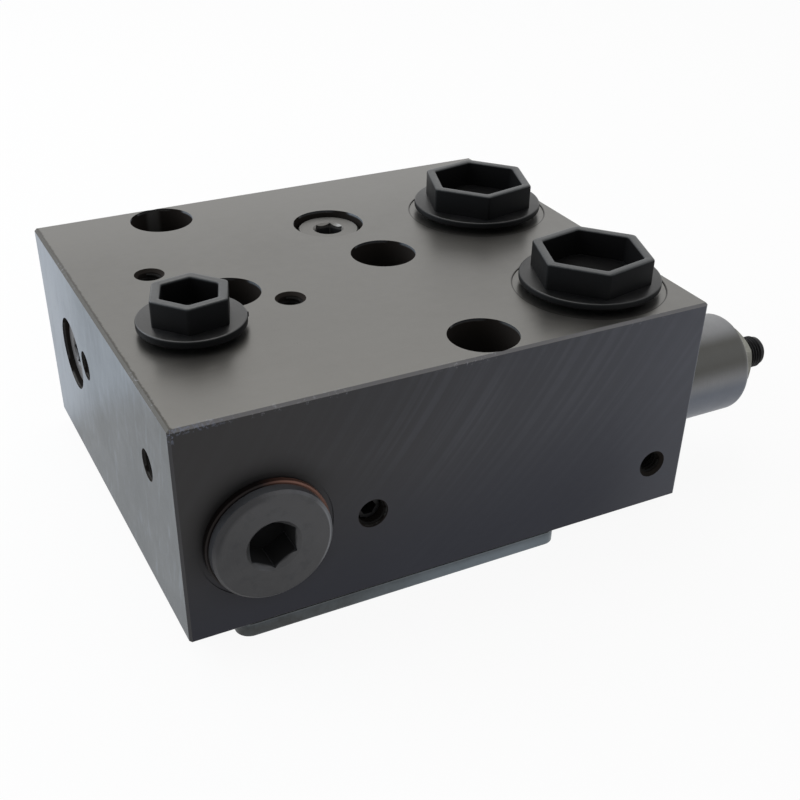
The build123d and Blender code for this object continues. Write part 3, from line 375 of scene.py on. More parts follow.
def vector(tree, operation, *values):
    """Vector math node."""
    return node(tree, "ShaderNodeVectorMath", dict(enumerate(values)), operation=operation).outputs[0]


def dot(tree, first, second):
    return node(tree, "ShaderNodeVectorMath", {0: first, 1: second}, operation="DOT_PRODUCT").outputs["Value"]


def magnitude(tree, value):
    return node(tree, "ShaderNodeVectorMath", {0: value}, operation="LENGTH").outputs["Value"]


def split(tree, value):
    return node(tree, "ShaderNodeSeparateXYZ", {0: value}).outputs


def blend(tree, factor, first, second):
    """Colour mix."""
    made = node(tree, "ShaderNodeMix", data_type="RGBA", clamp_factor=True)
    for index, value in ((0, factor), (6, first), (7, second)):
        feed(tree, made.inputs[index], (*value, 1.0) if isinstance(value, tuple) else value)
    return made.outputs[2]


def steps(tree, value, low, high, out_low=0.0, out_high=1.0):
    """Smooth step between two values."""
    return node(tree, "ShaderNodeMapRange", {0: value, 1: low, 2: high, 3: out_low, 4: out_high},
                interpolation_type="SMOOTHSTEP", clamp=True).outputs[0]


def noise(tree, position, scale, detail=3.0, roughness=0.55, distortion=0.0):
    """Noise from 0 to 1."""
    return node(tree, "ShaderNodeTexNoise", {
        "Vector": position, "Scale": scale, "Detail": detail,
        "Roughness": roughness, "Distortion": distortion}).outputs[0]


def bands(tree, value, spacing, detail):
    """Uneven bands along one value."""
    return node(tree, "ShaderNodeTexNoise", {
        "W": calc(tree, "DIVIDE", value, spacing), "Scale": 1.0, "Detail": detail}, noise_dimensions="1D").outputs[0]


def bump(tree, height, strength, distance):
    return node(tree, "ShaderNodeBump", {"Height": height, "Strength": strength, "Distance": distance}).outputs[0]


def shaded(colour, share):
    """Colour times one share, or one for each channel."""
    shares = share if isinstance(share, tuple) else (share,) * 3
    return tuple(value * part for value, part in zip(colour, shares))


# Shared node groups
def group(name, inputs, outputs):
    """New shader node group with named sockets."""
    tree = bpy.data.node_groups.new(name, "ShaderNodeTree")
    for label, kind, default in inputs:
        socket = tree.interface.new_socket(label, in_out="INPUT", socket_type=kind)
        socket.default_value = default
    for label in outputs:
        tree.interface.new_socket(label, in_out="OUTPUT", socket_type="NodeSocketFloat")
    return tree, tree.nodes.new("NodeGroupInput").outputs, tree.nodes.new("NodeGroupOutput")


def use(tree, shared, **values):
    """Place a shared group in a material, and return its outputs."""
    made = node(tree, "ShaderNodeGroup", node_tree=bpy.data.node_groups[shared])
    wire(tree, made, **values)
    return made.outputs


def make_edge_wear():
    """Masks of a box-shaped piece: its edges, chips along them, and the depth inside its faces."""
    tree, source, result = group(
        "Edge wear",
        [("Position", "NodeSocketVector", (0, 0, 0)), ("Low corner", "NodeSocketVector", (0, 0, 0)),
         ("High corner", "NodeSocketVector", (1, 1, 1)), ("Width", "NodeSocketFloat", 1.0)],
        ["Line", "Wear", "Depth"])
    low = vector(tree, "SUBTRACT", source["Position"], source["Low corner"])
    high = vector(tree, "SUBTRACT", source["High corner"], source["Position"])
    x, y, z = split(tree, vector(tree, "MINIMUM", low, high))
    least = calc(tree, "MINIMUM", x, y)
    most = calc(tree, "MAXIMUM", x, y)
    second = calc(tree, "MAXIMUM", least, calc(tree, "MINIMUM", most, z))
    chips = noise(tree, source["Position"], 0.9, 4.0, 0.7)
    places = noise(tree, source["Position"], 0.05, 2.0, 0.5)
    wire(tree, result,
         Line=steps(tree, calc(tree, "DIVIDE", second, source["Width"]), 0.55, 1.0, 1.0, 0.0),
         Wear=times(tree, steps(tree, chips, 0.56, 0.66), steps(tree, places, 0.5, 0.66)),
         Depth=calc(tree, "MINIMUM", least, z))


def make_cloudy():
    """Soft patches in two sizes, and specks."""
    tree, source, result = group(
        "Cloudy patches",
        [("Position", "NodeSocketVector", (0, 0, 0)), ("Size", "NodeSocketFloat", 30.0)],
        ["Patches", "Specks"])
    scaled = vector(tree, "DIVIDE", source["Position"], source["Size"])
    wide = noise(tree, scaled, 1.0, 3.0, 0.55, 0.6)
    fine = noise(tree, scaled, 9.0, 3.0, 0.6)
    mixed = linear(tree, fine, 0.3, times(tree, wide, 0.7))
    specks = noise(tree, source["Position"], 2.2, 2.0, 0.5)
    wire(tree, result, Patches=steps(tree, mixed, 0.3, 0.7), Specks=steps(tree, specks, 0.66, 0.74))


def make_grain():
    """Fine brushed grain that runs along X."""
    tree, source, result = group(
        "Brushed grain",
        [("Position", "NodeSocketVector", (0, 0, 0)), ("Stretch", "NodeSocketVector", (0.06, 1.6, 1.6))],
        ["Grain"])
    drawn = vector(tree, "MULTIPLY", source["Position"], source["Stretch"])
    wire(tree, result, Grain=noise(tree, drawn, 1.0, 4.0, 0.7))


def make_turned():
    """Rings and bands that turning leaves, for a piece whose axis is Z through the origin."""
    tree, source, result = group(
        "Turned marks",
        [("Position", "NodeSocketVector", (0, 0, 0)), ("Spacing", "NodeSocketFloat", 0.25)],
        ["Rings", "Bands", "Radius"])
    radius = magnitude(tree, vector(tree, "MULTIPLY", source["Position"], (1.0, 1.0, 0.0)))
    height = split(tree, source["Position"])[2]
    wire(tree, result,
         Rings=bands(tree, radius, source["Spacing"], 3.0),
         Bands=bands(tree, height, source["Spacing"], 3.0),
         Radius=radius)


def make_milled():
    """Arcs that a large milling cutter leaves as it travels along X."""
    tree, source, result = group(
        "Milling arcs",
        [("Position", "NodeSocketVector", (0, 0, 0)), ("Radius", "NodeSocketFloat", 90.0),
         ("Spacing", "NodeSocketFloat", 2.5)],
        ["Arcs"])
    x, _, z = split(tree, source["Position"])
    inside = calc(tree, "SUBTRACT", times(tree, source["Radius"], source["Radius"]), times(tree, z, z))
    travel = calc(tree, "SUBTRACT", x, calc(tree, "SQRT", calc(tree, "MAXIMUM", inside, 0.0)))
    wire(tree, result, Arcs=bands(tree, travel, source["Spacing"], 2.0))


# Finishes
def material(name):
    """New material with its shader, the position on the object in millimetres, and the normal."""
    made = bpy.data.materials.new(name)
    made.use_nodes = True
    tree = made.node_tree
    shader = tree.nodes["Principled BSDF"]
    place = node(tree, "ShaderNodeTexCoord").outputs
    position = node(tree, "ShaderNodeVectorMath", {0: place["Object"], 3: 1000.0}, operation="SCALE").outputs[0]
    return made, tree, shader, position, place["Normal"]


def box_in_mm(name):
    """Corners of a node's box in millimetres."""
    return [corner * 1000 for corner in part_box(name)]


def half_in_mm(name):
    """Half the lengths of a node's box in millimetres."""
    low, high = box_in_mm(name)
    return (high - low) / 2


def axis_in_mm(name):
    """Middle of a node's box in millimetres."""
    return axis_of(name) * 1000


def toward(tree, normal, direction):
    """Mask of the narrow faces whose normal follows a direction."""
    return steps(tree, dot(tree, normal, Vector(direction).normalized()), 0.94, 0.985)


def circle(tree, position, centre, radius, width):
    """Mask of a thin circle round an upright axis."""
    out = vector(tree, "SUBTRACT", position, (centre[0], centre[1], 0.0))
    reach = magnitude(tree, vector(tree, "MULTIPLY", out, (1.0, 1.0, 0.0)))
    away = calc(tree, "ABSOLUTE", calc(tree, "SUBTRACT", reach, radius))
    return steps(tree, away, width * 0.4, width, 1.0, 0.0)


def plug_shade(tree, position):
    """Painted shade round the front plug, most of it above and at the left."""
    out = vector(tree, "SUBTRACT", position, axis_in_mm("front_plug"))
    out = vector(tree, "MULTIPLY", out, (1.0, 0.0, 1.0))
    aim = vector(tree, "NORMALIZE", out)
    above = steps(tree, dot(tree, aim, (-0.5, 0.0, 0.86)), -0.3, 0.5)
    below = steps(tree, dot(tree, aim, (0.0, 0.0, -1.0)), 0.2, 0.8, 0.0, 0.45)
    near = steps(tree, magnitude(tree, out), 16.0, 24.0, 0.6, 0.0)
    return times(tree, near, calc(tree, "MAXIMUM", above, below))


def milled_streaks(tree, position, patches):
    """Slanted streaks of the milling cutter, strongest at the upper right."""
    x, _, z = split(tree, position)
    centred = vector(tree, "SUBTRACT", position, CUTTER_CENTRE)
    arcs = use(tree, "Milling arcs", Position=centred, Radius=CUTTER_RADIUS, Spacing=3.3)[0]
    reach = times(tree, steps(tree, x, -40.0, 20.0, 0.1, 1.0), steps(tree, z, 18.0, 54.0, 0.1, 1.0))
    streaks = times(tree, steps(tree, arcs, 0.42, 0.66), linear(tree, patches, 0.7, 0.3))
    return times(tree, streaks, reach)


def top_grain_and_painted_light(tree, top, position, patches, grain):
    """Ground steel with patches and grain, and painted light that makes it lighter towards the back."""
    colour = blend(tree, patches, shaded(top, 0.93), shaded(top, 1.05))
    # Painted light: lighter towards the back, where the lamps stand
    colour = blend(tree, steps(tree, split(tree, position)[1], 20.0, 62.0), colour, shaded(top, 1.13))
    return blend(tree, times(tree, grain, 0.3), colour, shaded(top, 1.2))


def front_streaks_and_painted_light(tree, plain, position, low, high, streaks):
    """Milled steel darkened as painted shade, with a bluish painted reflection towards the right, painted shade below
    and round the plug, and lighter milling streaks.
    """
    x, _, z = split(tree, position)
    blue = shaded(plain, (1.52, 1.66, 1.95))
    # Painted reflection: bluish and lighter towards the right
    colour = blend(tree, steps(tree, x, low.x, high.x), plain, blue)
    colour = blend(tree, steps(tree, x, 55.0, 92.0), colour, shaded(blue, 1.25))
    # Painted shade: darker and bluish towards the bottom
    lower = steps(tree, calc(tree, "SUBTRACT", z, times(tree, x, 0.1)), 5.0, 48.0, 1.0, 0.0)
    lower = times(tree, lower, steps(tree, x, 50.0, 88.0, 0.75, 0.2))
    colour = blend(tree, lower, colour, (0.0215, 0.0235, 0.0345))
    colour = blend(tree, times(tree, streaks, 0.22), colour, shaded(blue, 1.9))
    # Painted shade round the plug
    return blend(tree, plug_shade(tree, position), colour, (0.008, 0.0075, 0.0075))


def side_scratches_and_painted_light(tree, side, position, patches):
    """Steel of the two ends, lighter and bluish as a painted reflection that is pale at the upper back and darker and
    olive below, with soft slanted scratches.
    """
    x, y, z = split(tree, position)
    # Painted reflection: darker and olive below, pale at the upper back
    upper = steps(tree, linear(tree, y, 0.6, z), 30.0, 48.0)
    tone = linear(tree, patches, 0.4, linear(tree, upper, 0.85, -0.2))
    colour = blend(tree, steps(tree, tone, 0.0, 1.0), shaded(side, (0.58, 0.54, 0.49)), side)
    rear = times(tree, steps(tree, y, 4.0, 52.0), upper)
    colour = blend(tree, rear, colour, shaded(side, (1.56, 1.48, 1.44)))
    slanted = node(tree, "ShaderNodeCombineXYZ", {0: x, 1: linear(tree, z, 0.2, y), 2: z}).outputs[0]
    scratches = use(tree, "Brushed grain", Position=slanted, Stretch=(1.0, 0.34, 0.07))[0]
    colour = blend(tree, steps(tree, scratches, 0.5, 0.72, 0.0, 0.24), colour, shaded(side, 1.6))
    return blend(tree, steps(tree, scratches, 0.30, 0.5, 0.24, 0.0), colour, shaded(side, 0.6))


def edge_rim_and_painted_light(tree, colour, position, normal, low, high, front):
    """Ragged dark rim at the upper left, a painted highlight at the front's right end, and the chamfers' painted light
    and shade.
    """
    x, _, z = split(tree, position)
    ragged = calc(tree, "ADD", noise(tree, position, 0.8, 3.0, 0.6), x)
    rim = times(tree, steps(tree, ragged, low.x + 1.5, low.x + 2.0, 1.0, 0.0),
                steps(tree, z, high.z - 0.9, high.z - 0.6))
    colour = blend(tree, times(tree, rim, 0.85), colour, (0.045, 0.042, 0.036))
    # Painted highlight: a glint along the front's right edge
    glint = times(tree, steps(tree, x, high.x - 1.05, high.x - 0.85), front)
    colour = blend(tree, times(tree, glint, 0.6), colour, (0.17, 0.18, 0.2))
    for direction, tone, share in BLOCK_CHAMFER_PAINTED_LIGHT:
        colour = blend(tree, times(tree, toward(tree, normal, direction), share), colour, tone)
    return colour


def bare_chips(tree, colour, position, low, high, line, wear, outside):
    """Chips along the upper edges, and fine nicks beside the near corner."""
    _, y, z = split(tree, position)
    chips = times(tree, times(tree, wear, line), steps(tree, z, high.z - 3.0, high.z - 1.5))
    colour = blend(tree, times(tree, times(tree, chips, outside), 0.4), colour, (0.35, 0.36, 0.40))
    corner = magnitude(tree, vector(tree, "SUBTRACT", position, (low.x, low.y, high.z)))
    nicks = times(tree, steps(tree, noise(tree, position, 1.3, 2.0, 0.6), 0.52, 0.6),
                  steps(tree, corner, 6.0, 18.0, 1.0, 0.0))
    nicks = times(tree, nicks, steps(tree, y, low.y + 0.9, low.y + 1.3, 1.0, 0.0))
    nicks = times(tree, nicks, steps(tree, z, high.z - 4.5, high.z - 2.5))
    return blend(tree, times(tree, nicks, times(tree, line, 0.5)), colour, (0.16, 0.18, 0.24))


def block_steel(colours):
    """Dull machined steel of the block, milled on its front and ground on top, with painted light and shade on its
    faces and chamfers and painted shade in its holes.
    """
    made, tree, shader, position, normal = material("Machined block steel")
    low, high = box_in_mm("valve_body")
    patches, specks = use(tree, "Cloudy patches", Position=position, Size=34.0)
    grain = use(tree, "Brushed grain", Position=position, Stretch=GRAIN_ALONG_X)[0]
    line, wear, depth = use(tree, "Edge wear", Position=position, Low_corner=low, High_corner=high, Width=1.9)
    nx, ny, nz = split(tree, vector(tree, "ABSOLUTE", normal))
    level = steps(tree, calc(tree, "MAXIMUM", nx, calc(tree, "MAXIMUM", ny, nz)), 0.8, 0.88)
    outside = times(tree, steps(tree, depth, 0.3, 1.0, 1.0, 0.0), calc(tree, "MAXIMUM", level, line))
    front = times(tree, steps(tree, ny, 0.75, 0.85), outside)
    sides = times(tree, steps(tree, nx, 0.75, 0.85), outside)
    ground = steps(tree, split(tree, normal)[2], 0.75, 0.85)
    streaks = milled_streaks(tree, position, patches)
    colour = top_grain_and_painted_light(tree, tuple(colours.block_top), position, patches, grain)
    colour = blend(tree, front, colour, front_streaks_and_painted_light(tree, tuple(colours.block_front_painted_shade), position, low, high, streaks))
    colour = blend(tree, sides, colour, side_scratches_and_painted_light(tree, tuple(colours.block_side_painted_reflection), position, patches))
    colour = edge_rim_and_painted_light(tree, colour, position, normal, low, high, front)
    colour = bare_chips(tree, colour, position, low, high, line, wear, outside)
    for name in ("port_a_cap_seal", "port_b_cap_seal"):
        mark = circle(tree, position, axis_in_mm(name), CAP_CIRCLE_RADIUS, 0.3)
        colour = blend(tree, times(tree, mark, 0.85), colour, (0.025, 0.023, 0.021))
    colour = blend(tree, times(tree, specks, 0.1), colour, GRIME)
    # Painted shade inside the holes and countersinks
    colour = blend(tree, outside, HOLE_PAINTED_SHADE, colour)
    rough = linear(tree, patches, -0.06, linear(tree, ground, -0.17, 0.48))
    rough = linear(tree, grain, 0.06, rough)
    rough = linear(tree, outside, calc(tree, "SUBTRACT", rough, HOLE_ROUGH), HOLE_ROUGH)
    marks = times(tree, streaks, times(tree, front, 0.4))
    height = times(tree, linear(tree, grain, 0.5, marks), outside)
    wire(tree, shader, Base_Color=colour, Roughness=rough,
         Metallic=times(tree, outside, linear(tree, ground, 0.45, 0.5)),
         Specular_IOR_Level=linear(tree, outside, 0.23, 0.02), Normal=bump(tree, height, 0.1, 0.0002))
    return made


def plate_steel(colours):
    """Ground steel of the mounting plate, darker and brown towards its left end, with painted shade under the block.
    """
    made, tree, shader, position, _ = material("Mounting plate steel")
    low, high = box_in_mm("mounting_plate")
    patches, specks = use(tree, "Cloudy patches", Position=position, Size=16.0)
    grain = use(tree, "Brushed grain", Position=position, Stretch=GRAIN_ALONG_X)[0]
    line = use(tree, "Edge wear", Position=position, Low_corner=low, High_corner=high, Width=0.5)[0]
    x, _, z = split(tree, position)
    plain = tuple(colours.plate)
    colour = blend(tree, steps(tree, x, low.x, high.x - 8.0), shaded(plain, (0.15, 0.115, 0.08)), plain)
    colour = blend(tree, steps(tree, x, high.x - 30.0, high.x, 0.0, 0.5), colour, shaded(plain, 0.7))
    # Painted shade along the top, under the block
    colour = blend(tree, steps(tree, z, high.z - 2.4, high.z, 0.0, 0.6), colour, shaded(plain, 0.2))
    colour = blend(tree, times(tree, patches, 0.2), colour, shaded(plain, 1.3))
    colour = blend(tree, times(tree, line, 0.08), colour, (0.4, 0.42, 0.42))
    colour = blend(tree, times(tree, specks, 0.15), colour, GRIME)
    wire(tree, shader, Base_Color=colour, Metallic=0.6, Roughness=linear(tree, patches, -0.1, 0.46),
         Normal=bump(tree, grain, 0.1, 0.0002))
    return made


def turned_steel(name, colour, piece, turn, spacing, rough, metal=0.6, contrast=0.12, socket=None, tint=None):
    """Turned steel whose rings follow the axis of its piece, with painted shade inside its key socket."""
    made, tree, shader, position, normal = material(name)
    moved = node(tree, "ShaderNodeMapping", {
        "Vector": vector(tree, "SUBTRACT", position, axis_in_mm(piece)), "Rotation": turn}).outputs[0]
    rings, lengthwise, radius = use(tree, "Turned marks", Position=moved, Spacing=spacing)
    patches, specks = use(tree, "Cloudy patches", Position=position, Size=11.0)
    marks = calc(tree, "ADD", rings, lengthwise)
    tone = blend(tree, steps(tree, marks, 0.7, 1.3), shaded(colour, 1 - contrast), shaded(colour, 1 + contrast))
    tone = blend(tree, times(tree, patches, 0.5), tone, shaded(colour, 0.82))
    tone = blend(tree, times(tree, specks, 0.12), tone, (0.03, 0.026, 0.024))
    # Painted light and shade of the piece, laid by its tint function
    if tint:
        tone = tint(tree, moved, normal, tone)
    metallic = metal
    if socket:
        reach, face = socket
        below = calc(tree, "SUBTRACT", face, split(tree, moved)[2])
        inside = times(tree, steps(tree, radius, reach - 0.15, reach + 0.1, 1.0, 0.0), steps(tree, below, 0.7, 1.8))
        # Painted shade inside the key socket
        tone = blend(tree, inside, tone, (0.006, 0.006, 0.0065))
        metallic = linear(tree, inside, -metal, metal)
        rough = linear(tree, inside, 0.5, rough)
    wire(tree, shader, Base_Color=tone, Metallic=metallic, Roughness=linear(tree, patches, 0.08, rough),
         Specular_IOR_Level=0.25, Normal=bump(tree, marks, 0.08, 0.0001))
    return made


def barrel_painted_light(tree, moved, normal, tone):
    """Painted light above, painted shade along the middle and a bluish painted reflection below."""
    up = split(tree, normal)[2]
    dark = times(tree, steps(tree, up, 0.1, 0.5), steps(tree, up, 0.78, 0.97, 1.0, 0.0))
    tone = blend(tree, times(tree, dark, 0.85), tone, (0.058, 0.056, 0.046))
    return blend(tree, steps(tree, up, -0.1, 0.25, 0.7, 0.0), tone, (0.105, 0.125, 0.165))


def face_mottle_and_painted_light(tree, moved, normal, tone):
    """Mottled face of the front plug, with painted light towards its upper right, painted shade at its upper left rim,
    a painted highlight at its right one, and its side painted lighter above.
    """
    flat = vector(tree, "MULTIPLY", moved, (1.0, 1.0, 0.0))
    out = magnitude(tree, flat)
    right, up, _ = split(tree, vector(tree, "NORMALIZE", flat))
    # Painted light: lighter towards the upper right
    slope = times(tree, calc(tree, "ADD", right, up), times(tree, out, 0.05))
    tone = blend(tree, steps(tree, slope, -0.6, 0.9, 0.0, 0.4), tone, (0.095, 0.095, 0.099))
    blots = noise(tree, moved, 0.22, 4.0, 0.65)
    tone = blend(tree, steps(tree, blots, 0.5, 0.68, 0.0, 0.4), tone, (0.042, 0.043, 0.046))
    rim = calc(tree, "SUBTRACT", out, PLUG_FACE_RADIUS)
    shade = times(tree, steps(tree, rim, -1.8, -0.4), steps(tree, calc(tree, "SUBTRACT", up, right), 0.95, 1.3))
    tone = blend(tree, times(tree, shade, 0.65), tone, (0.026, 0.026, 0.028))
    glint = times(tree, steps(tree, rim, -0.5, -0.1), steps(tree, right, 0.7, 0.97))
    tone = blend(tree, times(tree, glint, 0.5), tone, (0.30, 0.31, 0.33))
    # Painted light on the head's side, lighter where it faces up
    side = steps(tree, calc(tree, "ABSOLUTE", split(tree, normal)[1]), 0.2, 0.5, 1.0, 0.0)
    lit = blend(tree, steps(tree, up, 0.75, 1.0), (0.075, 0.078, 0.085), (0.14, 0.148, 0.16))
    return blend(tree, times(tree, side, 0.8), tone, lit)


def copper_painted_shade(tree, moved, normal, tone):
    """Painted shade all round but for the upper right."""
    out = vector(tree, "NORMALIZE", vector(tree, "MULTIPLY", moved, (1.0, 1.0, 0.0)))
    aimed = dot(tree, out, Vector((1.0, 1.0, 0.0)).normalized())
    return blend(tree, steps(tree, aimed, 0.6, 0.98, 0.98, 0.0), tone, (0.006, 0.005, 0.005))


def plain_finish(name, colour, metal, rough, size, depth=0.12, contrast=0.3):
    """Even finish with soft patches and a fine surface grain."""
    made, tree, shader, position, _ = material(name)
    patches, specks = use(tree, "Cloudy patches", Position=position, Size=size)
    fine = noise(tree, position, 3.5, 4.0, 0.6)
    tone = blend(tree, patches, shaded(colour, 1 - contrast), shaded(colour, 1 + contrast))
    tone = blend(tree, times(tree, specks, 0.2), tone, tuple(min(1.0, value * 1.8 + 0.01) for value in colour))
    wire(tree, shader, Base_Color=tone, Metallic=metal, Roughness=linear(tree, patches, 0.12, rough - 0.06),
         Specular_IOR_Level=0.25, Normal=bump(tree, fine, depth, 0.0001))
    return made


def moulded_plastic(name, base, centre, cup_radius, flange_radius, gloss):
    """Black moulded plastic, with painted light towards the top of the cup, painted highlights on the rims and the
    flange's edge, a painted lighter band on the flange's side, and painted shade inside the cup.
    """
    made, tree, shader, position, normal = material(name)
    patches, specks = use(tree, "Cloudy patches", Position=position, Size=9.0)
    drawn = use(tree, "Brushed grain", Position=position, Stretch=(1.1, 1.1, 0.05))[0]
    x, y, height = split(tree, position)
    flat = node(tree, "ShaderNodeCombineXYZ", {0: x, 1: y}).outputs[0]
    out = vector(tree, "SUBTRACT", flat, (centre.x, centre.y, 0.0))
    radius = magnitude(tree, out)
    up = split(tree, normal)[2]
    top = steps(tree, up, 0.5, 0.85)
    above = steps(tree, height, CUP_TOP, CUP_TOP + 0.4)
    floor = times(tree, steps(tree, radius, cup_radius - 0.4, cup_radius, 1.0, 0.0), top)
    inward = steps(tree, dot(tree, out, normal), -3.0, -1.5, 1.0, 0.0)
    inside = times(tree, calc(tree, "MAXIMUM", floor, inward), calc(tree, "SUBTRACT", 1.0, above))
    tone = blend(tree, patches, base, shaded(base, 1.5))
    # Painted light: lighter towards the top of the cup
    tone = blend(tree, steps(tree, height, 71.0, 76.5, 0.0, 0.6), tone, shaded(base, (2.4, 2.5, 2.6)))
    # Painted highlights on the rims and on the flange's outer edge
    edge = times(tree, steps(tree, radius, flange_radius - 0.7, flange_radius - 0.3), steps(tree, up, 0.15, 0.5))
    rim = times(tree, above, steps(tree, up, 0.1, 0.6))
    lit = times(tree, calc(tree, "MAXIMUM", rim, times(tree, edge, 0.2)), steps(tree, drawn, 0.3, 0.7, 0.6, 1.0))
    tone = blend(tree, lit, tone, (0.037, 0.040, 0.042))
    # Painted light: a lighter band on the flange's side
    band = times(tree, steps(tree, radius, flange_radius - 0.5, flange_radius - 0.1), steps(tree, up, -0.6, 0.0))
    tone = blend(tree, times(tree, band, 0.8), tone, (0.0085, 0.009, 0.0095))
    tone = blend(tree, times(tree, specks, 0.1), tone, (0.03, 0.03, 0.032))
    # Painted shade inside the cup
    tone = blend(tree, inside, tone, (0.006, 0.006, 0.0062))
    relief = linear(tree, drawn, calc(tree, "SUBTRACT", 1.0, top), times(tree, patches, 0.3))
    wire(tree, shader, Base_Color=tone, Metallic=0.0,
         Roughness=linear(tree, top, -0.1, linear(tree, patches, 0.08, 0.4)),
         Specular_IOR_Level=times(tree, linear(tree, top, gloss, 0.055), linear(tree, inside, -0.75, 1.0)),
         Normal=bump(tree, relief, 0.2, 0.0001))
    return made


def paint(name, finish):
    """Give a CAD node its finish."""
    slots = NODES[name].material_slots
    for place in slots:
        place.material = finish
    if not slots:
        NODES[name].data.materials.append(finish)


def dress(piece, finish):
    """Give a modelled piece its finish alone."""
    piece.data.materials.clear()
    piece.data.materials.append(finish)


# One operator for each group of pieces
class VALVE_OT_shared_groups(bpy.types.Operator):
    """Make the node groups that the finishes share"""
    bl_idname = "valve.shared_groups"
    bl_label = "Shared node groups"

    def execute(self, context):
        make_edge_wear()
        make_cloudy()
        make_grain()
        make_turned()
        make_milled()
        return {"FINISHED"}


class VALVE_OT_steel_finishes(bpy.types.Operator):
    """Finish the block, the plate, the plugs, the barrel and the small steel pieces"""
    bl_idname = "valve.steel_finishes"
    bl_label = "Steel finishes"

    def execute(self, context):
        colours = context.scene.valve_colours
        plug = tuple(colours.plug)
        paint("valve_body", block_steel(colours))
        paint("mounting_plate", plate_steel(colours))
        paint("front_plug", turned_steel(
            "Front plug steel", plug, "front_plug", ALONG_Y, 0.3, 0.40, contrast=0.05,
            socket=(LARGE_KEY_REACH, half_in_mm("front_plug").y), tint=face_mottle_and_painted_light))
        # Painted light: the top plug takes the top face's colour, and the side plug below takes the plug colour made
        # 1.5 times lighter
        paint("top_plug", turned_steel(
            "Top plug steel", tuple(colours.block_top), "top_plug", ALONG_Z, 0.25, 0.34, 0.9,
            socket=(SMALL_KEY_REACH, half_in_mm("top_plug").z)))
        paint("side_plug", turned_steel(
            "Side plug steel", shaded(plug, 1.5), "side_plug", ALONG_X, 0.25, 0.40,
            socket=(SMALL_KEY_REACH, half_in_mm("side_plug").x)))
        paint("spring_housing", turned_steel(
            "Barrel steel", tuple(colours.barrel), "spring_housing", ALONG_X, 0.18, 0.36, 0.35, tint=barrel_painted_light))
        paint("copper_washer", turned_steel(
            "Dull copper", tuple(colours.copper), "copper_washer", ALONG_Y, 0.3, 0.4, tint=copper_painted_shade))
        paint("lock_nut", plain_finish("Plated nut steel", (0.2, 0.2, 0.178), 0.6, 0.4, 5.0))
        paint("shuttle_ball", plain_finish("Polished ball steel", (0.6, 0.6, 0.6), 1.0, 0.14, 8.0, 0.02, 0.05))
        inner = plain_finish("Plain inner steel", (0.2, 0.2, 0.2), 0.7, 0.36, 6.0)
        spring = plain_finish("Spring wire", (0.12, 0.12, 0.125), 0.8, 0.4, 3.0)
        dark = plain_finish("Black oxide steel", (0.012, 0.012, 0.0125), 0.3, 0.42, 3.0)
        for finish, names in (
                (inner, ("shuttle_seat", "check_poppet", "counterbalance_poppet", "lower_spring_seat", "spring_plate",
                         "cartridge_sleeve")),
                (spring, ("main_spring", "check_spring")),
                (dark, ("plate_screws", "pilot_hole_screws", "adjusting_screw"))):
            for name in names:
                paint(name, finish)
        return {"FINISHED"}


class VALVE_OT_seal_finishes(bpy.types.Operator):
    """Finish the rubber seals"""
    bl_idname = "valve.seal_finishes"
    bl_label = "Seal finishes"

    def execute(self, context):
        rubber = plain_finish("Nitrile rubber", (0.007, 0.007, 0.007), 0.0, 0.55, 4.0)
        for name in NODES:
            if name.endswith(("seal", "seals")):
                paint(name, rubber)
        return {"FINISHED"}


# Moulded caps
def bevel(offset, segments=1):
    """Bevel the selected edges."""
    bpy.ops.mesh.bevel(offset=offset, offset_type="OFFSET", segments=segments, profile=0.5, affect="EDGES",
                       clamp_overlap=True)


def sink(width, travel):
    """Inset the selected face and push it along Z."""
    bpy.ops.mesh.inset(thickness=width)
    bpy.ops.mesh.extrude_region_move(TRANSFORM_OT_translate={"value": (0, 0, travel)})


def cup(name, centre, flats, wall, low, top, depth, corner, angle):
    """Hexagonal cup with rounded corners and rims."""
    radius = flats / 2 / math.cos(math.pi / 6)
    obj = cylinder(name, radius, low, top, centre, 6, angle - math.pi / 6)
    edit(obj)
    pick(obj, "faces", upward)
    sink(wall, -depth)
    bpy.ops.transform.resize(value=(CUP_TAPER, CUP_TAPER, 1.0), center_override=(centre[0], centre[1], top - depth))

    def upright(edge):
        first, second = (vert.co for vert in edge.verts)
        return abs(first.z - second.z) > depth * 0.5

    pick(obj, "edges", lambda edge: upright(edge) or at_height(top)(edge))
    bevel(corner, 3)
    leave()
    return obj


def flange(name, centre, radius, low, top, corner):
    """Round flange with a rounded rim."""
    obj = cylinder(name, radius, low, top, centre, 96)
    edit(obj)
    for height in (low, top):
        pick(obj, "edges", at_height(height))
        bevel(corner, 4)
    leave()
    return obj


def tube(name, centre, radius, low, top, bore, roof, sides, chamfer=0.0):
    """Upright tube, open below and closed above its roof."""
    obj = cylinder(name, radius, low, top, centre, sides)
    edit(obj)
    if chamfer:
        pick(obj, "edges", at_height(low))
        bevel(chamfer)
    pick(obj, "faces", downward)
    sink(radius - chamfer - bore, roof - low)
    leave()
    return obj


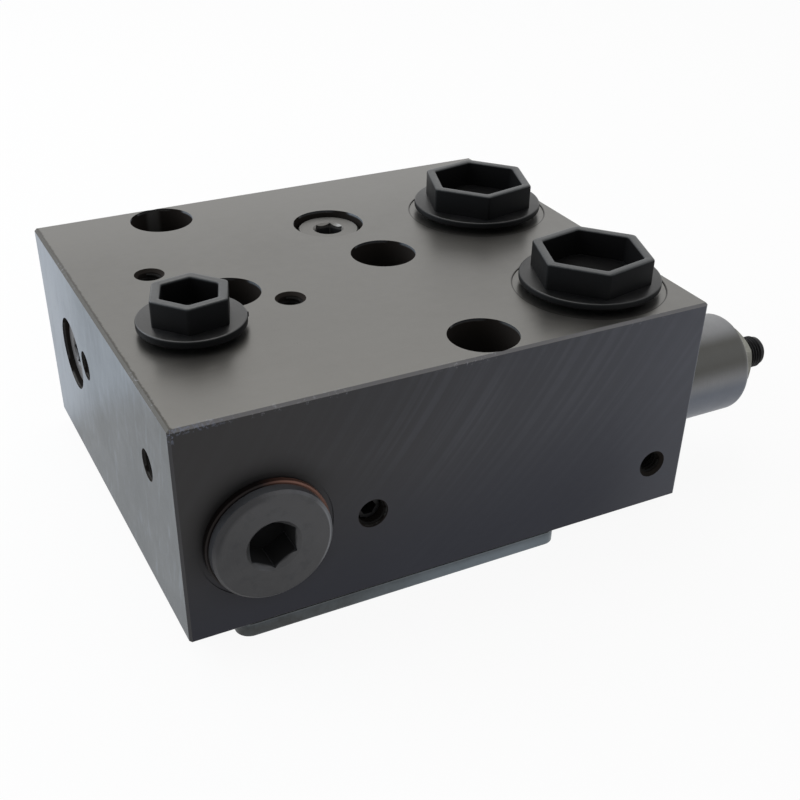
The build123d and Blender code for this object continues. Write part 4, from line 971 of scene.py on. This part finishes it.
def port_cap(name, sizes, shape, corner_angle):
    """Moulded cap with its cup, flange, hollow shank and thread."""
    low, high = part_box(name)
    centre = axis_of(name + "_seal")
    face = BLOCK_HIGH.z
    seat = face + sizes.cap_lift
    step = seat + shape.flange_height
    roof = step - CAP_ROOF
    crest = shape.thread / 2 - THREAD_SINK
    root = crest - CAP_THREAD_HEIGHT * shape.pitch
    bore = crest - CAP_SHANK_WALL
    inner_top = seat + CAP_OVERLAP
    head = cup(name + "_cup", centre, shape.flats, sizes.cap_wall, seat + CUP_SINK, high.z,
               high.z - step - CUP_FLOOR, sizes.cap_corner, corner_angle)
    foot = flange(name + "_flange", centre, shape.flange_radius, seat, step, FLANGE_ROUNDING)
    stem = tube(name + "_shank", centre, root, low.z, inner_top, bore, roof, 64, CAP_CHAMFER)
    collar = tube(name + "_collar", centre, crest, face - COLLAR_DEPTH, inner_top, bore + COLLAR_STEP,
                  roof + COLLAR_STEP, 96)
    length = face - THREAD_DEPTH - low.z
    ridge = thread_ridge(name + "_thread", root - THREAD_SINK, crest, shape.pitch, length - shape.pitch, CAP_RIDGE)
    ridge.location = (centre.x, centre.y, low.z + shape.pitch * CAP_THREAD_START)
    return [head, foot, stem, collar, ridge]


def gate_nub(name, radius):
    """Stub that the moulding gate leaves on the rim of a flange."""
    centre = axis_of(name + "_seal")
    spot = (centre.x + radius * math.cos(GATE_ANGLE), centre.y + radius * math.sin(GATE_ANGLE))
    low = BLOCK_HIGH.z + GATE_LIFT
    return cylinder(name + "_gate", GATE_RADIUS, low, low + GATE_HEIGHT, spot, 12)


class VALVE_OT_port_caps(bpy.types.Operator):
    """Model the three moulded caps of the threaded ports"""
    bl_idname = "valve.port_caps"
    bl_label = "Port caps"

    def execute(self, context):
        sizes = context.scene.valve_sizes
        base = tuple(context.scene.valve_colours.plastic)
        for name, shape, angle in (
                ("port_a_cap", LINE_CAP, sizes.line_cap_corner_angle),
                ("port_b_cap", LINE_CAP, sizes.line_cap_corner_angle),
                ("brake_port_cap", BRAKE_CAP, sizes.brake_cap_corner_angle)):
            parts = port_cap(name, sizes, shape, angle)
            if shape is BRAKE_CAP:
                parts.append(gate_nub(name, shape.flange_radius))
            cap = settled(joined(name + "_moulded", parts), 32.0)
            dress(cap, moulded_plastic(
                name + "_plastic", base, axis_in_mm(name + "_seal"), (shape.flats / 2 - sizes.cap_wall) * 1000,
                shape.flange_radius * 1000, shape.gloss))
            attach(cap, name)
            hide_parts(name)
        return {"FINISHED"}


class VALVE_OT_adjusting_screw(bpy.types.Operator):
    """Model the adjusting screw with its thread and key socket"""
    bl_idname = "valve.adjusting_screw"
    bl_label = "Adjusting screw"

    def execute(self, context):
        sizes = context.scene.valve_sizes
        low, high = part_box("adjusting_screw")
        middle = (low + high) / 2
        outer = (high.y - low.y) / 2
        root = outer - sizes.thread_depth
        length = high.x - low.x
        core = cylinder("adjusting_screw_core", root, 0.0, length, (0, 0))
        edit(core)
        for height, chamfer in ((length, SCREW_END_CHAMFER), (0.0, SCREW_TIP_CHAMFER)):
            pick(core, "edges", at_height(height))
            bevel(chamfer)
        leave()
        key = cylinder("key_socket", KEY_FLATS / 2 / math.cos(math.pi / 6), length - KEY_DEPTH, length + MM, (0, 0), 6)
        modified(core, "BOOLEAN", operation="DIFFERENCE", solver="EXACT", object=key)
        bpy.data.objects.remove(key)
        ridge = thread_ridge("adjusting_screw_thread", root - THREAD_SINK, outer - SCREW_CREST_SINK,
                             sizes.screw_pitch, length - SCREW_THREAD_ENDS, SCREW_RIDGE)
        ridge.location.z = SCREW_THREAD_START
        screw = placed(joined("adjusting_screw_threaded", [core, ridge]), (low.x, middle.y, middle.z), INWARD_X)
        dress(screw, bpy.data.materials["Black oxide steel"])
        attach(screw, "adjusting_screw")
        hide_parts("adjusting_screw")
        return {"FINISHED"}


class VALVE_OT_hole_threads(bpy.types.Operator):
    """Model the thread turns of the small tapped holes"""
    bl_idname = "valve.hole_threads"
    bl_label = "Hole threads"

    def execute(self, context):
        pitch = context.scene.valve_sizes.tap_pitch
        ridges = []
        for index, (mouth, inward) in enumerate(TAPPED_HOLES):
            ridge = thread_ridge(f"tap_{index}", TAP_ROOT, TAP_CREST, pitch, TAP_LENGTH, TAP_RIDGE, 28)
            ridges.append(placed(ridge, Vector(mouth) + Vector(inward) * TAP_START, inward))
        for index, (mouth, inward, length) in enumerate(PILOT_HOLES):
            ridge = thread_ridge(f"pilot_{index}", PILOT_ROOT, PILOT_CREST, pitch, length - PILOT_RUNOUT,
                                 PILOT_RIDGE, 28)
            ridges.append(placed(ridge, Vector(mouth) + Vector(inward) * PILOT_START, inward))
        threads = settled(joined("hole_threads", ridges))
        # Painted shade: the thread turns are near black, as the inside of the holes
        dress(threads, plain_finish("Thread steel", (0.005, 0.0045, 0.004), 0.0, 0.95, 3.0))
        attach(threads, "valve")
        return {"FINISHED"}


# Stage
def area_light(name, power, colour, size, place, target):
    """Soft rectangular light aimed at a point."""
    data = bpy.data.lights.new(name, "AREA")
    data.energy = power
    data.color = colour
    data.shape = "RECTANGLE"
    data.size, data.size_y = size
    lamp = bpy.data.objects.new(name, data)
    bpy.context.scene.collection.objects.link(lamp)
    lamp.location = place
    lamp.rotation_mode = "QUATERNION"
    lamp.rotation_quaternion = (Vector(target) - Vector(place)).to_track_quat("-Z", "Y")


def background_rays(tree):
    """Mask of the rays that see the background: camera, glossy and transmission rays."""
    path = node(tree, "ShaderNodeLightPath").outputs
    mirrored = calc(tree, "MAXIMUM", path["Is Glossy Ray"], path["Is Transmission Ray"])
    return calc(tree, "MAXIMUM", path["Is Camera Ray"], mirrored)


def add_floor():
    """Pale floor that is white to the eye but for the object's shadow."""
    bpy.ops.object.select_all(action="DESELECT")
    bpy.ops.mesh.primitive_plane_add(size=6.0, location=(0, 0, -0.0002))
    floor = named("floor")
    made, tree, shader, _, _ = material("Pale floor")
    wire(tree, shader, Base_Color=(0.8, 0.8, 0.8, 1.0), Roughness=0.8)
    white = node(tree, "ShaderNodeEmission", {"Color": (1, 1, 1, 1), "Strength": 1.0}).outputs[0]
    seen = times(tree, background_rays(tree), FLOOR_WHITE)
    mixed = node(tree, "ShaderNodeMixShader", {0: seen, 1: shader.outputs[0], 2: white}).outputs[0]
    wire(tree, tree.nodes["Material Output"], Surface=mixed)
    floor.data.materials.append(made)


def add_room(scene, ambient):
    """White room that lights the object weakly."""
    scene.world = bpy.data.worlds.new("Pale room")
    scene.world.use_nodes = True
    tree = scene.world.node_tree
    wire(tree, tree.nodes["Background"], Color=(1.0, 1.0, 1.0, 1.0),
         Strength=calc(tree, "MAXIMUM", background_rays(tree), ambient))


def add_camera(scene):
    """Camera at the photograph's place."""
    data = bpy.data.cameras.new("camera")
    data.lens = LENS
    data.sensor_width = SENSOR
    data.shift_x, data.shift_y = CAMERA_SHIFT
    data.clip_start = 0.01
    camera = bpy.data.objects.new("camera", data)
    scene.collection.objects.link(camera)
    camera.location = CAMERA_PLACE
    camera.rotation_euler = tuple(math.radians(value) for value in CAMERA_DEGREES)
    scene.camera = camera


class VALVE_OT_stage(bpy.types.Operator):
    """Set the floor, the lights, the room and the camera"""
    bl_idname = "valve.stage"
    bl_label = "Stage"

    def execute(self, context):
        scene = context.scene
        settings = scene.valve_stage
        add_floor()
        for name, (power, *rest) in LIGHTS.items():
            area_light(name, getattr(settings, power), *rest)
        add_room(scene, settings.ambient)
        add_camera(scene)
        scene.view_settings.view_transform = "Standard"
        return {"FINISHED"}


class VALVE_PT_panel(bpy.types.Panel):
    """Valve tools in the sidebar"""
    bl_idname = "VALVE_PT_panel"
    bl_label = "Motor brake valve"
    bl_space_type = "VIEW_3D"
    bl_region_type = "UI"
    bl_category = "Valve"

    def draw(self, context):
        for settings in (context.scene.valve_sizes, context.scene.valve_colours, context.scene.valve_stage):
            box = self.layout.box()
            for name in settings.bl_rna.properties.keys():
                if name not in ("rna_type", "name"):
                    box.prop(settings, name)
        for step in OPERATORS:
            self.layout.operator(step.bl_idname)


OPERATORS = (
    VALVE_OT_shared_groups,
    VALVE_OT_steel_finishes,
    VALVE_OT_seal_finishes,
    VALVE_OT_port_caps,
    VALVE_OT_adjusting_screw,
    VALVE_OT_hole_threads,
    VALVE_OT_stage,
)
CLASSES = (ValveSizes, ValveColours, ValveStage, *OPERATORS, VALVE_PT_panel)


def register():
    for item in CLASSES:
        bpy.utils.register_class(item)
    bpy.types.Scene.valve_sizes = bpy.props.PointerProperty(type=ValveSizes)
    bpy.types.Scene.valve_colours = bpy.props.PointerProperty(type=ValveColours)
    bpy.types.Scene.valve_stage = bpy.props.PointerProperty(type=ValveStage)


def unregister():
    del bpy.types.Scene.valve_stage
    del bpy.types.Scene.valve_colours
    del bpy.types.Scene.valve_sizes
    for item in reversed(CLASSES):
        bpy.utils.unregister_class(item)


def main():
    """Make the whole valve."""
    register()
    for step in OPERATORS:
        group_name, operator_name = step.bl_idname.split(".")
        getattr(getattr(bpy.ops, group_name), operator_name)()


if __name__ == "__main__":
    main()
